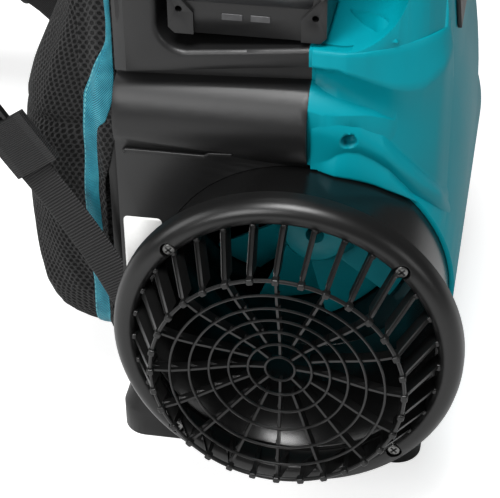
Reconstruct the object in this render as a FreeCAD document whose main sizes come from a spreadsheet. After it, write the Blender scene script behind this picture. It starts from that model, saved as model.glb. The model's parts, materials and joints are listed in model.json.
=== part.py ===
import FreeCAD, Part

import math
import os

import Sketcher

# Backpack leaf blower, cordless, standing on its base.
# Millimetres. X to the wearer's right, Y forward (towards the wearer's back), Z up.
# The origin is the centre of the base's underside, on the floor.
# The air goes in on the left (-X), through the fan, and out on the right, where an elbow turns it forward.

SIZES = {
    # base
    "base_half_x": 141, "base_front_y": 115, "base_rear_y": 100, "base_edge_z": 20, "base_top_z": 38,
    "base_bevel": 8,
    "base_corner": 18, "base_hollow_z": 30, "base_hollow_inset": 22, "foot_pad_radius": 13,
    "foot_pad_depth": 5,
    # duct and fan axis, along X
    "duct_y": -15, "duct_z": 142,
    # intake grille
    "lip_radius": 114, "lip_inner_radius": 98, "lip_front_x": -205, "lip_back_x": -187,
    "basket_radius": 80.5, "basket_front_x": -235, "web_centre_x": -220, "fin_depth": 15, "fin_width": 2.4,
    "fin_count": 32, "spoke_count": 16, "hub_spoke_count": 8, "spoke_width": 1.9, "spoke_depth": 8,
    "hub_ring_radius": 9.5, "inner_ring_radius": 20.5, "web_ring_width": 1.9, "web_ring_depth": 3,
    "grille_screw_radius": 103, "grille_screw_head": 4.6, "grille_screw_head_z": 3, "grille_screw_seat": 4,
    # intake duct
    "neck_radius": 97.5, "neck_wall": 3, "throat_radius": 75, "throat_x": -112, "neck_end_x": -101,
    # fan casing and outlet
    "casing_wall": 3, "casing_end_x": 44, "flange_width": 8, "flange_thick": 4,
    "outlet_radius": 45, "outlet_wall": 3, "outlet_z": 182, "outlet_x": 127,
    # impeller, motor and guide vanes
    "blade_count": 9, "tip_gap": 1.6, "nose_x": -73, "impeller_back_x": -32, "nose_radius": 23,
    "hub_radius": 44,
    "nose_hole_radius": 6.5, "nose_hole_depth": 14, "shaft_radius": 5, "run_gap": 0.3, "motor_front_x": -29,
    "cup_wall": 3, "vane_count": 7, "vane_thick": 2.5, "vane_chord": 34, "stator_x": -13, "stator_length": 40,
    "stator_bore_radius": 24, "rotor_gap": 0.6, "bearing_radius": 13, "bearing_width": 8, "tail_length": 46,
    "tail_radius": 12,
    # housing
    "half_width": 135, "part_y": -19, "front_y": 107, "wall": 4, "front_chamfer": 10,
    "roll_x": 137.5, "roll_under": 4, "roll_bottom_z": 243.5, "roll_bottom_rise": 7.5, "roll_top_x": 128.5,
    "roll_top_z": 293, "roll_top_fall": 6, "roll_radius": 34, "roll_turn_z": 175, "channel_x": 119.5,
    "channel_slope": 2.5, "ledge_x": 133, "ledge_z": 312, "ledge_fall": 14.4, "ledge_under": 6, "deck_z": 324,
    "deck_fall": 8, "bay_corner": 18, "column_y": 76.5, "column_top_z": 470, "column_corner": 26,
    "rear_radius": 101, "rear_full_z": 190, "rear_waist_z": 270, "rear_lean_radius": 330, "rear_top_y": -90,
    "rear_top_z": 446, "rear_crown": 8, "bay_rear_y": -78, "bay_rear_corner": 38, "plan_radius": 106,
    "plan_rear_x": 30, "plan_side_x": 138, "plan_turn_y": -29, "rear_cover_half_x": 48,
    "rear_cover_bottom_z": 300, "rear_cover_top_z": 428, "rear_cover_thick": 3, "roll_turn_y": 5,
    "bay_rim_radius": 4,
    # battery side
    "carrier_half_x": 52, "carrier_top_z": 462, "battery_y": 20, "battery_width": 99, "battery_thick": 75,
    "battery_height": 166, "battery_bottom_z": 327, "battery_gap": 0.5, "rail_width": 12, "rail_stem": 3,
    "rail_reach": 4, "rail_depth": 4, "rail_spacing": 66, "rail_bottom_z": 344, "rail_length": 104,
    "terminal_width": 38, "terminal_depth": 7, "terminal_bottom_z": 350, "terminal_top_z": 370,
    "carrier_back_y": -38, "carrier_corner": 5, "battery_corner": 6, "guard_width": 16, "guard_low": 15,
    "guard_high": 29, "guard_step": 4, "guard_proud": 2.5, "guard_hole_radius": 2.2, "guard_hole_depth": 6,
    "guard_hole_inset": 7, "guard_hole_z": 17,
    "face_inset": 8, "face_depth": 1.5, "latch_half_x": 15, "latch_half_y": 9, "latch_height": 16,
    "latch_travel": 3, "controller_half_x": 34, "controller_half_y": 30, "controller_height": 44,
    "controller_shift": 8,
    # carry handle
    "handle_radius": 12.5, "handle_z": 522, "handle_half_x": 74, "handle_y": 92, "handle_bend": 30,
    "handle_foot": 5, "grip_sleeve_half": 38, "grip_sleeve_thick": 2.5,
    # back plate, its rubber mounts and the pad
    "plate_half_x": 112, "plate_thick": 6, "plate_bottom_z": 45, "plate_top_z": 466, "mount_thick": 6,
    "mount_radius": 14, "mount_half_x": 84, "mount_low_z": 84, "mount_high_z": 410,
    "pad_half_x": 106, "pad_depth": 60, "pad_bottom_z": 66, "pad_top_z": 446, "pad_crown": 5,
    "binding_width": 16, "binding_bite": 2.5, "binding_proud": 1.5, "seat_gap": 0.3,
    "plate_corner": 22, "vent_half_x": 62, "vent_height": 14, "vent_pitch": 32, "vent_count": 11,
    "mount_bolt_radius": 6,
    # harness
    "strap_width": 58, "strap_thick": 12, "strap_x": 52, "strap_crown": 2, "strap_top_z": 456,
    "strap_loop_y": 252, "webbing_width": 25, "webbing_thick": 2, "lock_width": 40, "lock_length": 34,
    "lock_thick": 5, "lock_x": 118, "lock_y": 192, "lock_z": 235, "left_lock_lean": 33, "right_lock_lean": 48,
    "right_strap_drop": 25, "right_strap_reach": 40, "anchor_y": 92, "anchor_z": 84, "anchor_thick": 4,
    "anchor_lean": 40, "deep_screw_y": -45, "deep_screw_z": 262, "deep_hole_depth": 10,
    # elbow, hose and pipes; the pipes lie along Y
    "elbow_bend": 108, "elbow_start": 18, "elbow_end": 18, "band_width": 10, "band_thick": 1.5,
    "hose_radius": 47, "hose_valley": 42, "hose_bore": 39, "hose_length": 72, "hose_ribs": 8,
    "ring_length": 20,
    "cuff_length": 34, "pipe_radius": 43, "pipe_wall": 2, "swivel_length": 300, "pipe_overlap": 120,
    "pipe_length": 420, "pipe_gap": 0.4, "nozzle_length": 170, "nozzle_radius": 33, "nozzle_overlap": 34,
    # control handle
    "clamp_y": 430, "clamp_length": 46, "clamp_wall": 4, "clamp_foot_z": 58, "grip_width": 32,
    "grip_height": 122,
    "grip_lean": 12, "grip_half_x": 16, "grip_wall": 3, "trigger_width": 13, "trigger_low_z": 44,
    "trigger_pivot_y": 14, "trigger_pivot_z": 82, "pin_radius": 2.5, "lever_thick": 7, "lever_y": 10,
    "lever_z": 104, "button_radius": 6, "button_travel": 2, "boost_y": 17.5, "power_y": 2.4,
}


class Size:
    """A length with the spreadsheet expression that gives it."""

    def __init__(self, value, text):
        self.value = float(value)
        self.text = text

    @staticmethod
    def of(item):
        return item if isinstance(item, Size) else Size(item, f"{float(item):.6f}")

    def join(self, other, value, sign):
        return Size(value, f"({self.text} {sign} {other.text})")

    def __add__(self, other):
        other = Size.of(other)
        return self.join(other, self.value + other.value, "+")

    def __sub__(self, other):
        other = Size.of(other)
        return self.join(other, self.value - other.value, "-")

    def __mul__(self, other):
        other = Size.of(other)
        return self.join(other, self.value * other.value, "*")

    def __truediv__(self, other):
        other = Size.of(other)
        return self.join(other, self.value / other.value, "/")

    def __radd__(self, other):
        return Size.of(other) + self

    def __rsub__(self, other):
        return Size.of(other) - self

    def __rmul__(self, other):
        return Size.of(other) * self

    def __neg__(self):
        return Size.of(0) - self

    def __float__(self):
        return self.value


def root(item):
    return Size(math.sqrt(item.value), f"sqrt({item.text})")


def number(item):
    return float(item)


def sine(degrees):
    return Size(math.sin(math.radians(number(degrees))), f"sin({Size.of(degrees).text})")


def cosine(degrees):
    return Size(math.cos(math.radians(number(degrees))), f"cos({Size.of(degrees).text})")


doc = FreeCAD.newDocument("leaf_blower")
sheet = doc.addObject("Spreadsheet::Sheet", "Sizes")


def fill_sheet():
    for row, (name, value) in enumerate(SIZES.items(), start=1):
        sheet.set(f"A{row}", name)
        sheet.set(f"B{row}", str(value))
        sheet.setAlias(f"B{row}", name)
    doc.recompute()


def size(name):
    return Size(SIZES[name], f"Sizes.{name}")


def bind(item, **lengths):
    """Set each property from the spreadsheet, such as Radius or Length."""
    for prop, length in lengths.items():
        length = Size.of(length)
        setattr(item, prop, length.value)
        item.setExpression(prop, length.text)
    return item


def place(item, x=0, y=0, z=0, axis=None, angle=0):
    if axis is not None:
        item.Placement = FreeCAD.Placement(FreeCAD.Vector(), FreeCAD.Rotation(FreeCAD.Vector(*axis), 1))
        item.setExpression("Placement.Rotation.Angle", Size.of(angle).text)
    for name, length in (("x", x), ("y", y), ("z", z)):
        item.setExpression(f"Placement.Base.{name}", Size.of(length).text)
    return item


def new_body(label, x=0, y=0, z=0, axis=None, angle=0):
    body = doc.addObject("PartDesign::Body", label)
    body.Label = label
    return place(body, x, y, z, axis, angle)


def origin_part(body, role):
    for item in body.Origin.OriginFeatures:
        if item.Role == role:
            return item
    raise RuntimeError(f"{body.Label} has no {role}")


def hold(edge, end, u, v):
    """Rules that hold a sketch point at (u, v) from the sketch's origin."""
    rules = []
    for kind, length, zero_axis in (("DistanceX", u, -2), ("DistanceY", v, -1)):
        length = Size.of(length)
        if length.text == "0.000000":
            rules.append((Sketcher.Constraint("PointOnObject", edge, end, zero_axis), None))
        else:
            rules.append((Sketcher.Constraint(kind, -1, 1, edge, end, length.value), length.text))
    return rules


def arc_edge(start, end, radius):
    """A short arc from start to end: a positive radius turns left, a negative one turns right."""
    du, dv = end[0] - start[0], end[1] - start[1]
    chord = math.hypot(du, dv)
    bow = math.sqrt(max(radius * radius - chord * chord / 4, 0))
    side = 1 if radius > 0 else -1
    centre = FreeCAD.Vector((start[0] + end[0]) / 2 - side * dv / chord * bow,
                            (start[1] + end[1]) / 2 + side * du / chord * bow, 0)
    first, last = (start, end) if side > 0 else (end, start)
    turn = [math.atan2(point[1] - centre.y, point[0] - centre.x) for point in (first, last)]
    circle = Part.Circle(centre, FreeCAD.Vector(0, 0, 1), abs(radius))
    return Part.ArcOfCircle(circle, turn[0], turn[1])


def path_rules(points, first, closed=True):
    """Edges through points (u, v) or (u, v, radius of the arc that arrives there), and their rules."""
    values = [(number(p[0]), number(p[1])) for p in points]
    count = len(points) if closed else len(points) - 1
    edges, ends, rules = [], [], []
    for i in range(count):
        j = (i + 1) % len(points)
        bow = number(points[j][2]) if len(points[j]) == 3 else 0
        if bow:
            edges.append(arc_edge(values[i], values[j], bow))
        else:
            edges.append(Part.LineSegment(FreeCAD.Vector(*values[i], 0), FreeCAD.Vector(*values[j], 0)))
        ends.append((first + i, 2, 1) if bow < 0 else (first + i, 1, 2))
    for i in range(count if closed else count - 1):
        after = ends[(i + 1) % count]
        rules.append((Sketcher.Constraint("Coincident", ends[i][0], ends[i][2], after[0], after[1]), None))
    for i in range(count):
        rules += hold(ends[i][0], ends[i][1], points[i][0], points[i][1])
        j = (i + 1) % len(points)
        if len(points[j]) == 3:
            bow = Size.of(points[j][2])
            text = bow.text if bow.value > 0 else f"-{bow.text}"
            rules.append((Sketcher.Constraint("Radius", ends[i][0], abs(bow.value)), text))
    if not closed:
        rules += hold(ends[-1][0], ends[-1][2], points[-1][0], points[-1][1])
    return edges, rules


def circle_rules(u, v, radius, first):
    circle = Part.Circle(FreeCAD.Vector(number(u), number(v), 0), FreeCAD.Vector(0, 0, 1), number(radius))
    rules = hold(first, 3, u, v)
    rules.append((Sketcher.Constraint("Radius", first, number(radius)), Size.of(radius).text))
    return [circle], rules


def draw(sketch, loops, closed=True):
    """Draw loops; a loop of one (u, v, radius) is a circle."""
    edges, rules = [], []
    for loop in loops:
        if len(loop) == 1:
            more, held = circle_rules(*loop[0], len(edges))
        else:
            more, held = path_rules(loop, len(edges), closed)
        edges += more
        rules += held
    sketch.addGeometry(edges)
    for place_, (rule, text) in zip(sketch.addConstraint([rule for rule, text in rules]), rules):
        if text is not None:
            sketch.setExpression(f"Constraints[{place_}]", text)
    return sketch


def new_sketch(body, plane, lift=0):
    """A sketch on the body's own plane XY, XZ or YZ, moved by lift along +Z, +Y or +X."""
    sketch = body.newObject("Sketcher::SketchObject", "Sketch")
    sketch.AttachmentSupport = [(origin_part(body, f"{plane}_Plane"), "")]
    sketch.MapMode = "FlatFace"
    lift = Size.of(lift)
    away = -lift if plane == "XZ" else lift
    sketch.setExpression(".AttachmentOffset.Base.z", away.text)
    return sketch


def outline(body, plane, *loops, lift=0):
    """A sketch of closed loops."""
    return draw(new_sketch(body, plane, lift), loops)


def box_loop(u0, v0, u1, v1):
    return [(u0, v0), (u1, v0), (u1, v1), (u0, v1)]


def round_loop(u0, v0, u1, v1, r):
    """A rectangle with round corners."""
    return [(u0 + r, v0, r), (u1 - r, v0), (u1, v0 + r, r), (u1, v1 - r), (u1 - r, v1, r), (u0 + r, v1),
            (u0, v1 - r, r), (u0, v0 + r)]


def mirrored(half):
    """Close the right half of an outline, given from the bottom up, with its mirror image."""
    back = []
    for i in range(len(half) - 1, -1, -1):
        arc = half[i + 1][2:] if i + 1 < len(half) else ()
        back.append((-half[i][0], half[i][1], *arc))
    return list(half) + back


def add(body, kind, **links):
    item = body.newObject(f"PartDesign::{kind}", kind)
    for prop, value in links.items():
        setattr(item, prop, value)
    body.Tip = item
    return item


def points_back(sketch, toward, cuts):
    """Whether a feature has to be reversed to run towards the positive axis of its plane."""
    plane = sketch.AttachmentSupport[0][0].Role
    natural = (-1 if plane == "XZ_Plane" else 1) * (-1 if cuts else 1)
    return natural * toward < 0


def pad(body, sketch, length, toward=1):
    """Pad a sketch towards + or - of its plane's axis, or to both sides alike with toward=0."""
    item = add(body, "Pad", Profile=sketch, SideType="One side" if toward else "Symmetric")
    item.Reversed = bool(toward) and points_back(sketch, toward, False)
    return bind(item, Length=length)


def pocket(body, sketch, length, toward=1):
    item = add(body, "Pocket", Profile=sketch, SideType="One side" if toward else "Symmetric")
    item.Reversed = bool(toward) and points_back(sketch, toward, True)
    return bind(item, Length=length)


def spin(body, sketch, axis="X", turn=360, cuts=False):
    item = add(body, "Groove" if cuts else "Revolution", Profile=sketch)
    item.ReferenceAxis = (origin_part(body, f"{axis}_Axis"), [""])
    item.Angle = turn
    return item


def loft(body, sketches, cuts=False, ruled=False):
    kind = "SubtractiveLoft" if cuts else "AdditiveLoft"
    return add(body, kind, Profile=sketches[0], Sections=sketches[1:], Ruled=ruled)


def polar(body, features, count, axis="X"):
    item = add(body, "PolarPattern", Originals=features)
    item.Axis = (origin_part(body, f"{axis}_Axis"), [""])
    item.Angle = 360
    item.Occurrences = int(number(count))
    item.setExpression("Occurrences", Size.of(count).text)
    return item


def soften(body, kind, radius, chosen):
    """Round or chamfer the edges for which chosen(edge) is true."""
    doc.recompute()
    tip = body.Tip
    names = [f"Edge{i + 1}" for i, edge in enumerate(tip.Shape.Edges) if chosen(edge)]
    item = add(body, kind, Base=(tip, names))
    return bind(item, **{"Size" if kind == "Chamfer" else "Radius": radius})


AXES = {"X": ((0, 1, 0), 90), "Y": ((1, 0, 0), -90), "Z": ((0, 0, 1), 0)}


def rod(label, radius, length, axis, x=0, y=0, z=0):
    """A cylinder that starts at (x, y, z) and runs along +axis."""
    item = doc.addObject("Part::Cylinder", label)
    item.Label = label
    bind(item, Radius=radius, Height=length)
    turn, angle = AXES[axis]
    return place(item, x, y, z, turn, angle)


def block(label, low, high):
    """A box between two corners."""
    item = doc.addObject("Part::Box", label)
    item.Label = label
    spans = [Size.of(b) - a for a, b in zip(low, high)]
    bind(item, Length=spans[0], Width=spans[1], Height=spans[2])
    return place(item, *low)


def less(label, base, *tools):
    """The base with the tools cut away."""
    tool = tools[0]
    if len(tools) > 1:
        tool = doc.addObject("Part::MultiFuse", f"{label}_tools")
        tool.Shapes = list(tools)
    item = doc.addObject("Part::Cut", label)
    item.Label = label
    item.Base = base
    item.Tool = tool
    return item


def joined(label, *items):
    item = doc.addObject("Part::MultiFuse", label)
    item.Label = label
    item.Shapes = list(items)
    return item


def group(label, items):
    """Like pieces that share one node as separate solids."""
    item = doc.addObject("Part::Compound", label)
    item.Label = label
    item.Links = list(items)
    return item


def formed(label, shape):
    item = doc.addObject("Part::Feature", label)
    item.Label = label
    item.Shape = shape
    item.Placement = FreeCAD.Placement()
    return item


def tube(label, outer, inner, length, axis, x=0, y=0, z=0):
    return less(label, rod(f"{label}_outside", outer, length, axis, x, y, z),
                rod(f"{label}_bore", inner, length, axis, x, y, z))


fill_sheet()

half_width, part_y, front_y, wall = size("half_width"), size("part_y"), size("front_y"), size("wall")
duct_y, duct_z, deck_z = size("duct_y"), size("duct_z"), size("deck_z")
base_top_z, column_y, column_top_z = size("base_top_z"), size("column_y"), size("column_top_z")
run_gap, seat_gap = size("run_gap"), size("seat_gap")


def make_base_plate():
    """The foot: flat below, with a bevelled top edge and a hollow top."""
    body = new_body("base_plate")
    hx, front, rear = size("base_half_x"), size("base_front_y"), size("base_rear_y")
    corner, bevel, inset = size("base_corner"), size("base_bevel"), size("base_hollow_inset")
    edge_z = size("base_edge_z")
    pad(body, outline(body, "XY", round_loop(-hx, -rear, hx, front, corner)), edge_z)
    low = outline(body, "XY", round_loop(-hx, -rear, hx, front, corner), lift=edge_z)
    high = outline(body, "XY", round_loop(bevel - hx, bevel - rear, hx - bevel, front - bevel,
                                          corner - bevel / 2),
                   lift=base_top_z)
    loft(body, [low, high], ruled=True)
    hollow = round_loop(inset - hx, inset - rear, hx - inset, front - inset, corner)
    pocket(body, outline(body, "XY", hollow, lift=base_top_z), size("base_hollow_z"), toward=-1)
    seats = [[(x, y, size("foot_pad_radius"))] for x, y in foot_places()]
    pocket(body, outline(body, "XY", *seats), size("foot_pad_depth"))
    return body


def foot_places():
    far_x = size("base_half_x") - 30
    return [(side * far_x, y) for side in (-1, 1) for y in (27 - size("base_rear_y"),
                                                            size("base_front_y") - 27)]


def make_rubber_feet():
    """Four round pads, flush with the underside."""
    pads = [rod(f"foot_pad_{i}", size("foot_pad_radius") - 0.3, size("foot_pad_depth"), "Z", x, y)
            for i, (x, y) in enumerate(foot_places())]
    return group("rubber_feet", pads)


def housing_half(front):
    """Right half of the housing's section at its front or rear end: panel, roll, channel, ledge, column."""
    rise, fall, slope = size("roll_bottom_rise"), size("roll_top_fall"), size("ledge_fall")
    if not front:
        rise, fall, slope = Size.of(0), Size.of(0), Size.of(0)
    low, high, ledge = size("roll_bottom_z") + rise, size("roll_top_z") - fall, size("ledge_z") - slope
    side, corner = size("ledge_x"), size("column_corner")
    return [(half_width, base_top_z), (half_width, low - size("roll_under")), (size("roll_x"), low),
            (size("roll_top_x"), high, size("roll_radius")),
            (size("channel_x"), high + size("channel_slope")),
            (size("channel_x"), ledge - size("ledge_under")), (side, ledge), (side, column_top_z - corner),
            (side - corner, column_top_z, corner)]


def make_front_frame():
    """Front housing: side panels, rolls, channels, sloping ledges and the column ahead of the bays."""
    body = new_body("front_frame")
    loft(body, [outline(body, "XZ", mirrored(housing_half(False)), lift=part_y),
                outline(body, "XZ", mirrored(housing_half(True)), lift=front_y)], ruled=True)
    corner, past = size("bay_corner"), 6
    top = column_top_z + past
    for side, start, fall in ((0, Size.of(0), Size.of(0)),
                              (-1, size("carrier_half_x") + 3, size("deck_fall")),
                              (1, size("carrier_half_x") + 3, size("deck_fall"))):
        bay = [(part_y - past, deck_z), (part_y, deck_z), (column_y - corner, deck_z - fall),
               (column_y, deck_z - fall + corner, corner), (column_y, top), (part_y - past, top)]
        pocket(body, outline(body, "YZ", bay, lift=side * start), half_width * 3, toward=side)
    inner, narrow, low = half_width - wall, size("channel_x") - wall, size("roll_bottom_z")
    hollow = mirrored([(inner, base_top_z + wall), (inner, low - wall * 2), (narrow, low + 3 * wall),
                       (narrow, deck_z - size("deck_fall") - wall)])
    pocket(body, outline(body, "XZ", hollow, lift=part_y), front_y - part_y - wall)
    side = size("ledge_x") - wall
    column = round_loop(-side, size("ledge_z") + wall, side, column_top_z - wall,
                        size("column_corner") - wall)
    pocket(body, outline(body, "XZ", column, lift=column_y + wall), front_y - column_y - 2 * wall)
    neck = outline(body, "YZ", [(duct_y, duct_z, size("neck_radius") + seat_gap)], lift=-half_width - past)
    pocket(body, neck, wall + 2 * past)
    exit_hole = outline(body, "YZ", [(duct_y, size("outlet_z"), size("outlet_radius") + seat_gap)],
                        lift=half_width + past)
    pocket(body, exit_hole, wall + 2 * past, toward=-1)

    def front_corner(edge):
        box = edge.BoundBox
        upright = (box.ZLength > 40 and box.XLength < 0.1 and box.YLength < 0.1
                   and box.ZMin > deck_z.value - 40)
        return upright and abs(box.YMax - front_y.value) < 0.1

    def bay_rim(edge):
        box = edge.BoundBox
        outer = (min(abs(box.XMin), abs(box.XMax)) > size("ledge_x").value - 0.01
                 and box.ZMin > size("ledge_z").value)
        return outer and box.YMax > part_y.value + 1 and box.YMax < column_y.value + 0.1

    soften(body, "Chamfer", size("front_chamfer"), front_corner)
    soften(body, "Fillet", size("bay_rim_radius"), bay_rim)
    return body


def plan_loop(inset):
    """The rear shell from above, about the roll's turning axis: sides that curve to a narrow flat rear."""
    side, flat = size("plan_side_x") - inset, size("plan_rear_x")
    back = rear_y() - size("roll_turn_y") + inset
    radius, turn_y = size("plan_radius") - inset, size("plan_turn_y") - size("roll_turn_y")
    return [(-side, 2), (-side, turn_y), (-flat, back, radius), (flat, back), (side, turn_y, radius),
            (side, 2)]


def rear_y():
    return duct_y - size("rear_radius")


def rear_waist_y():
    """Where the rear's bulge has come forward to at the waist, above which it is straight."""
    up, radius = size("rear_waist_z") - size("rear_full_z"), size("rear_lean_radius")
    return rear_y() + radius - root(radius * radius - up * up)


def rear_line_y(z):
    """The straight leaning part of the rear, above the waist."""
    low, high = size("rear_waist_z"), size("rear_top_z") - size("rear_crown")
    return rear_waist_y() + (size("rear_top_y") - rear_waist_y()) * (z - low) / (high - low)


def side_loop(inset):
    """The rear shell from the side, about the roll's turning axis, clockwise from the parting line's foot."""
    turn_y, turn_z = size("roll_turn_y"), size("roll_turn_z")
    radius, foot, crown = size("rear_radius") - inset, 30 - inset, size("rear_crown")
    axis_y, bay, corner = duct_y - turn_y, size("bay_rear_y") - turn_y - inset, size("bay_rear_corner")
    start, top = part_y - turn_y + inset * 2, size("rear_top_z") - turn_z
    deck, shoulder, waist = deck_z - turn_z - inset, size("rear_top_z") - crown, size("rear_waist_z")
    head = [(rear_line_y(shoulder) - turn_y, shoulder - turn_z),
            (rear_line_y(shoulder) - turn_y + crown, top, -crown),
            (bay, top)]
    if number(inset) > 0:
        roof = deck_z + corner
        head = [(rear_line_y(roof) - turn_y + inset, roof - turn_z), (bay, roof - turn_z)]
    return [(start, base_top_z - turn_z + inset), (axis_y - foot, base_top_z - turn_z + inset),
            (axis_y - foot, duct_z - turn_z - root(radius * radius - foot * foot)),
            (axis_y - radius, duct_z - turn_z, -radius), (axis_y - radius, size("rear_full_z") - turn_z),
            (rear_waist_y() - turn_y + inset, waist - turn_z, -(size("rear_lean_radius") - inset)), *head,
            (bay, deck + corner), (bay + corner, deck, corner), (start, deck)]


def barrel_loop(inset):
    """The lower rear from the side: half a barrel about the duct axis, on a straight foot."""
    turn_y, turn_z = size("roll_turn_y"), size("roll_turn_z")
    radius, foot = size("rear_radius") - inset, 30 - inset
    axis_y, axis_z, start = duct_y - turn_y, duct_z - turn_z, part_y - turn_y + inset * 2
    low, ahead = base_top_z - turn_z + inset, axis_y - start
    return [(start, low), (axis_y - foot, low), (axis_y - foot, axis_z - root(radius * radius - foot * foot)),
            (axis_y - radius, axis_z, -radius),
            (start, axis_z + root(radius * radius - ahead * ahead), -radius)]


def around(loop):
    """Everything outside a loop, as two loops."""
    reach = half_width * 3
    return box_loop(-reach, -reach, reach, reach), loop


def bay_rim_loop():
    """Side view of the rim round the battery bay's rear end: the ledge, which curls up behind the bay."""
    turn_y, turn_z = size("roll_turn_y"), size("roll_turn_z")
    thick, corner = deck_z - size("ledge_z"), size("bay_rear_corner")
    bay, deck, top = size("bay_rear_y") - turn_y, deck_z - turn_z, size("rear_top_z") - turn_z
    return [(0, deck - thick), (bay + corner, deck - thick), (bay - thick, deck + corner, -(corner + thick)),
            (bay - thick, top), (bay, top), (bay, deck + corner), (bay + corner, deck, corner), (0, deck)]


def make_rear_shell():
    """Rear housing shell: a leaning, rounded body; the roll turns down round the intake neck and fades."""
    turn_y, turn_z, deep = size("roll_turn_y"), size("roll_turn_z"), size("channel_x")
    outside = new_body("rear_shell_outside", 0, turn_y, turn_z)
    ahead = turn_y - part_y
    low, high = size("roll_bottom_z") - turn_z, size("roll_top_z") - turn_z
    low, high = root(low * low + ahead * ahead), root(high * high + ahead * ahead)
    pad(outside, outline(outside, "YZ", side_loop(Size.of(0))), deep * 2, toward=0)
    core, brow = deep - 20, high + size("channel_slope")
    roll = [(core, low), (size("roll_x"), low), (size("roll_top_x"), high, size("roll_radius")), (deep, brow),
            (core, brow)]
    other = [(-core, brow), (-deep, brow), (-size("roll_top_x"), high),
             (-size("roll_x"), low, size("roll_radius")),
             (-core, low)]
    spin(outside, outline(outside, "XZ", roll, other), turn=112)
    pad(outside, outline(outside, "YZ", bay_rim_loop()), size("ledge_x") * 2, toward=0)
    pocket(outside, outline(outside, "YZ", *around(side_loop(Size.of(0)))), half_width * 4, toward=0)
    pocket(outside, outline(outside, "XY", *around(plan_loop(Size.of(0)))), half_width * 6, toward=0)
    pad(outside, outline(outside, "YZ", barrel_loop(Size.of(0))), deep * 2, toward=0)
    inside = new_body("rear_shell_inside", 0, turn_y, turn_z)
    pad(inside, outline(inside, "YZ", side_loop(wall)), (deep - wall) * 2, toward=0)
    pocket(inside, outline(inside, "XY", *around(plan_loop(wall))), half_width * 6, toward=0)
    pad(inside, outline(inside, "YZ", barrel_loop(wall)), (deep - wall) * 2, toward=0)
    far_left = -half_width * 1.5
    neck = rod("rear_neck_hole", size("neck_radius") + seat_gap, size("neck_end_x") + seat_gap - far_left,
               "X", far_left,
               duct_y, duct_z)
    exit_hole = rod("rear_exit_hole", size("outlet_radius") + seat_gap, half_width / 2, "X", half_width * 0.8,
                    duct_y,
                    size("outlet_z"))
    recess_radius = size("outlet_radius") + size("flange_width") + 4
    recess = rod("rear_exit_recess", recess_radius, half_width, "X", half_width / 2, duct_y, size("outlet_z"))
    floor_x, room = half_width - size("deep_hole_depth"), size("grille_screw_head") + 1.4
    deep_holes = [rod(f"deep_hole_{i}", room, 40, "X", floor_x if side > 0 else -floor_x - 40, y, z)
                  for i, (side, y, z) in enumerate(screw_spots())]
    return less("rear_shell", outside, inside, neck, exit_hole, recess, *deep_holes)


def make_rear_cover():
    """Louvred black cover on the straight leaning part of the rear."""
    body = new_body("rear_cover")
    hx, low, high = size("rear_cover_half_x"), size("rear_cover_bottom_z"), size("rear_cover_top_z")
    thick = size("rear_cover_thick")
    near, far = -seat_gap - 0.05, -seat_gap - thick
    band = [(rear_line_y(low) + far, low), (rear_line_y(low) + near, low), (rear_line_y(high) + near, high),
            (rear_line_y(high) + far, high)]
    pad(body, outline(body, "YZ", band), hx * 2, toward=0)
    slots = [box_loop(-hx + 12, low + 14 + k * 17, hx - 12, low + 20 + k * 17) for k in range(6)]
    pocket(body, outline(body, "XZ", *slots, lift=rear_y()), half_width, toward=1)
    return body


def duct_body(label):
    """A body whose own X axis is the duct axis."""
    return new_body(label, 0, duct_y, duct_z)


def make_intake_duct():
    """Neck: a round skin outside, a bell mouth inside, and a flange at the fan casing."""
    body = duct_body("intake_duct")
    outer, skin = size("neck_radius"), size("neck_wall")
    front, back = size("lip_back_x") + seat_gap, size("neck_end_x")
    throat, throat_x = size("throat_radius"), size("throat_x")
    mouth = size("lip_inner_radius") - 3
    flare_x, flare = (front + throat_x) / 2, throat + (mouth - throat) * 0.3
    profile = [(front, mouth), (front + 8, mouth - 5), (flare_x, flare), (throat_x, throat), (back, throat),
               (back, outer), (back - 4, outer), (back - 4, throat + skin), (throat_x, throat + skin),
               (flare_x, flare + skin), (front + 9, outer - skin), (-half_width, outer - skin),
               (-half_width, outer),
               (front, outer)]
    spin(body, outline(body, "XY", profile))
    return body


def web_x(radius):
    """Where the grille's web stands at a radius: dished towards its middle."""
    share = (radius - size("hub_ring_radius")) / (size("basket_radius") - size("hub_ring_radius"))
    depth = size("web_centre_x") - size("basket_front_x")
    return size("web_centre_x") - depth * share * share * (3 - 2 * share)


def web_radii():
    hub, inner, outer = size("hub_ring_radius"), size("inner_ring_radius"), size("basket_radius")
    return [hub] + [inner + (outer - inner) * k / 5 for k in range(6)]


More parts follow.
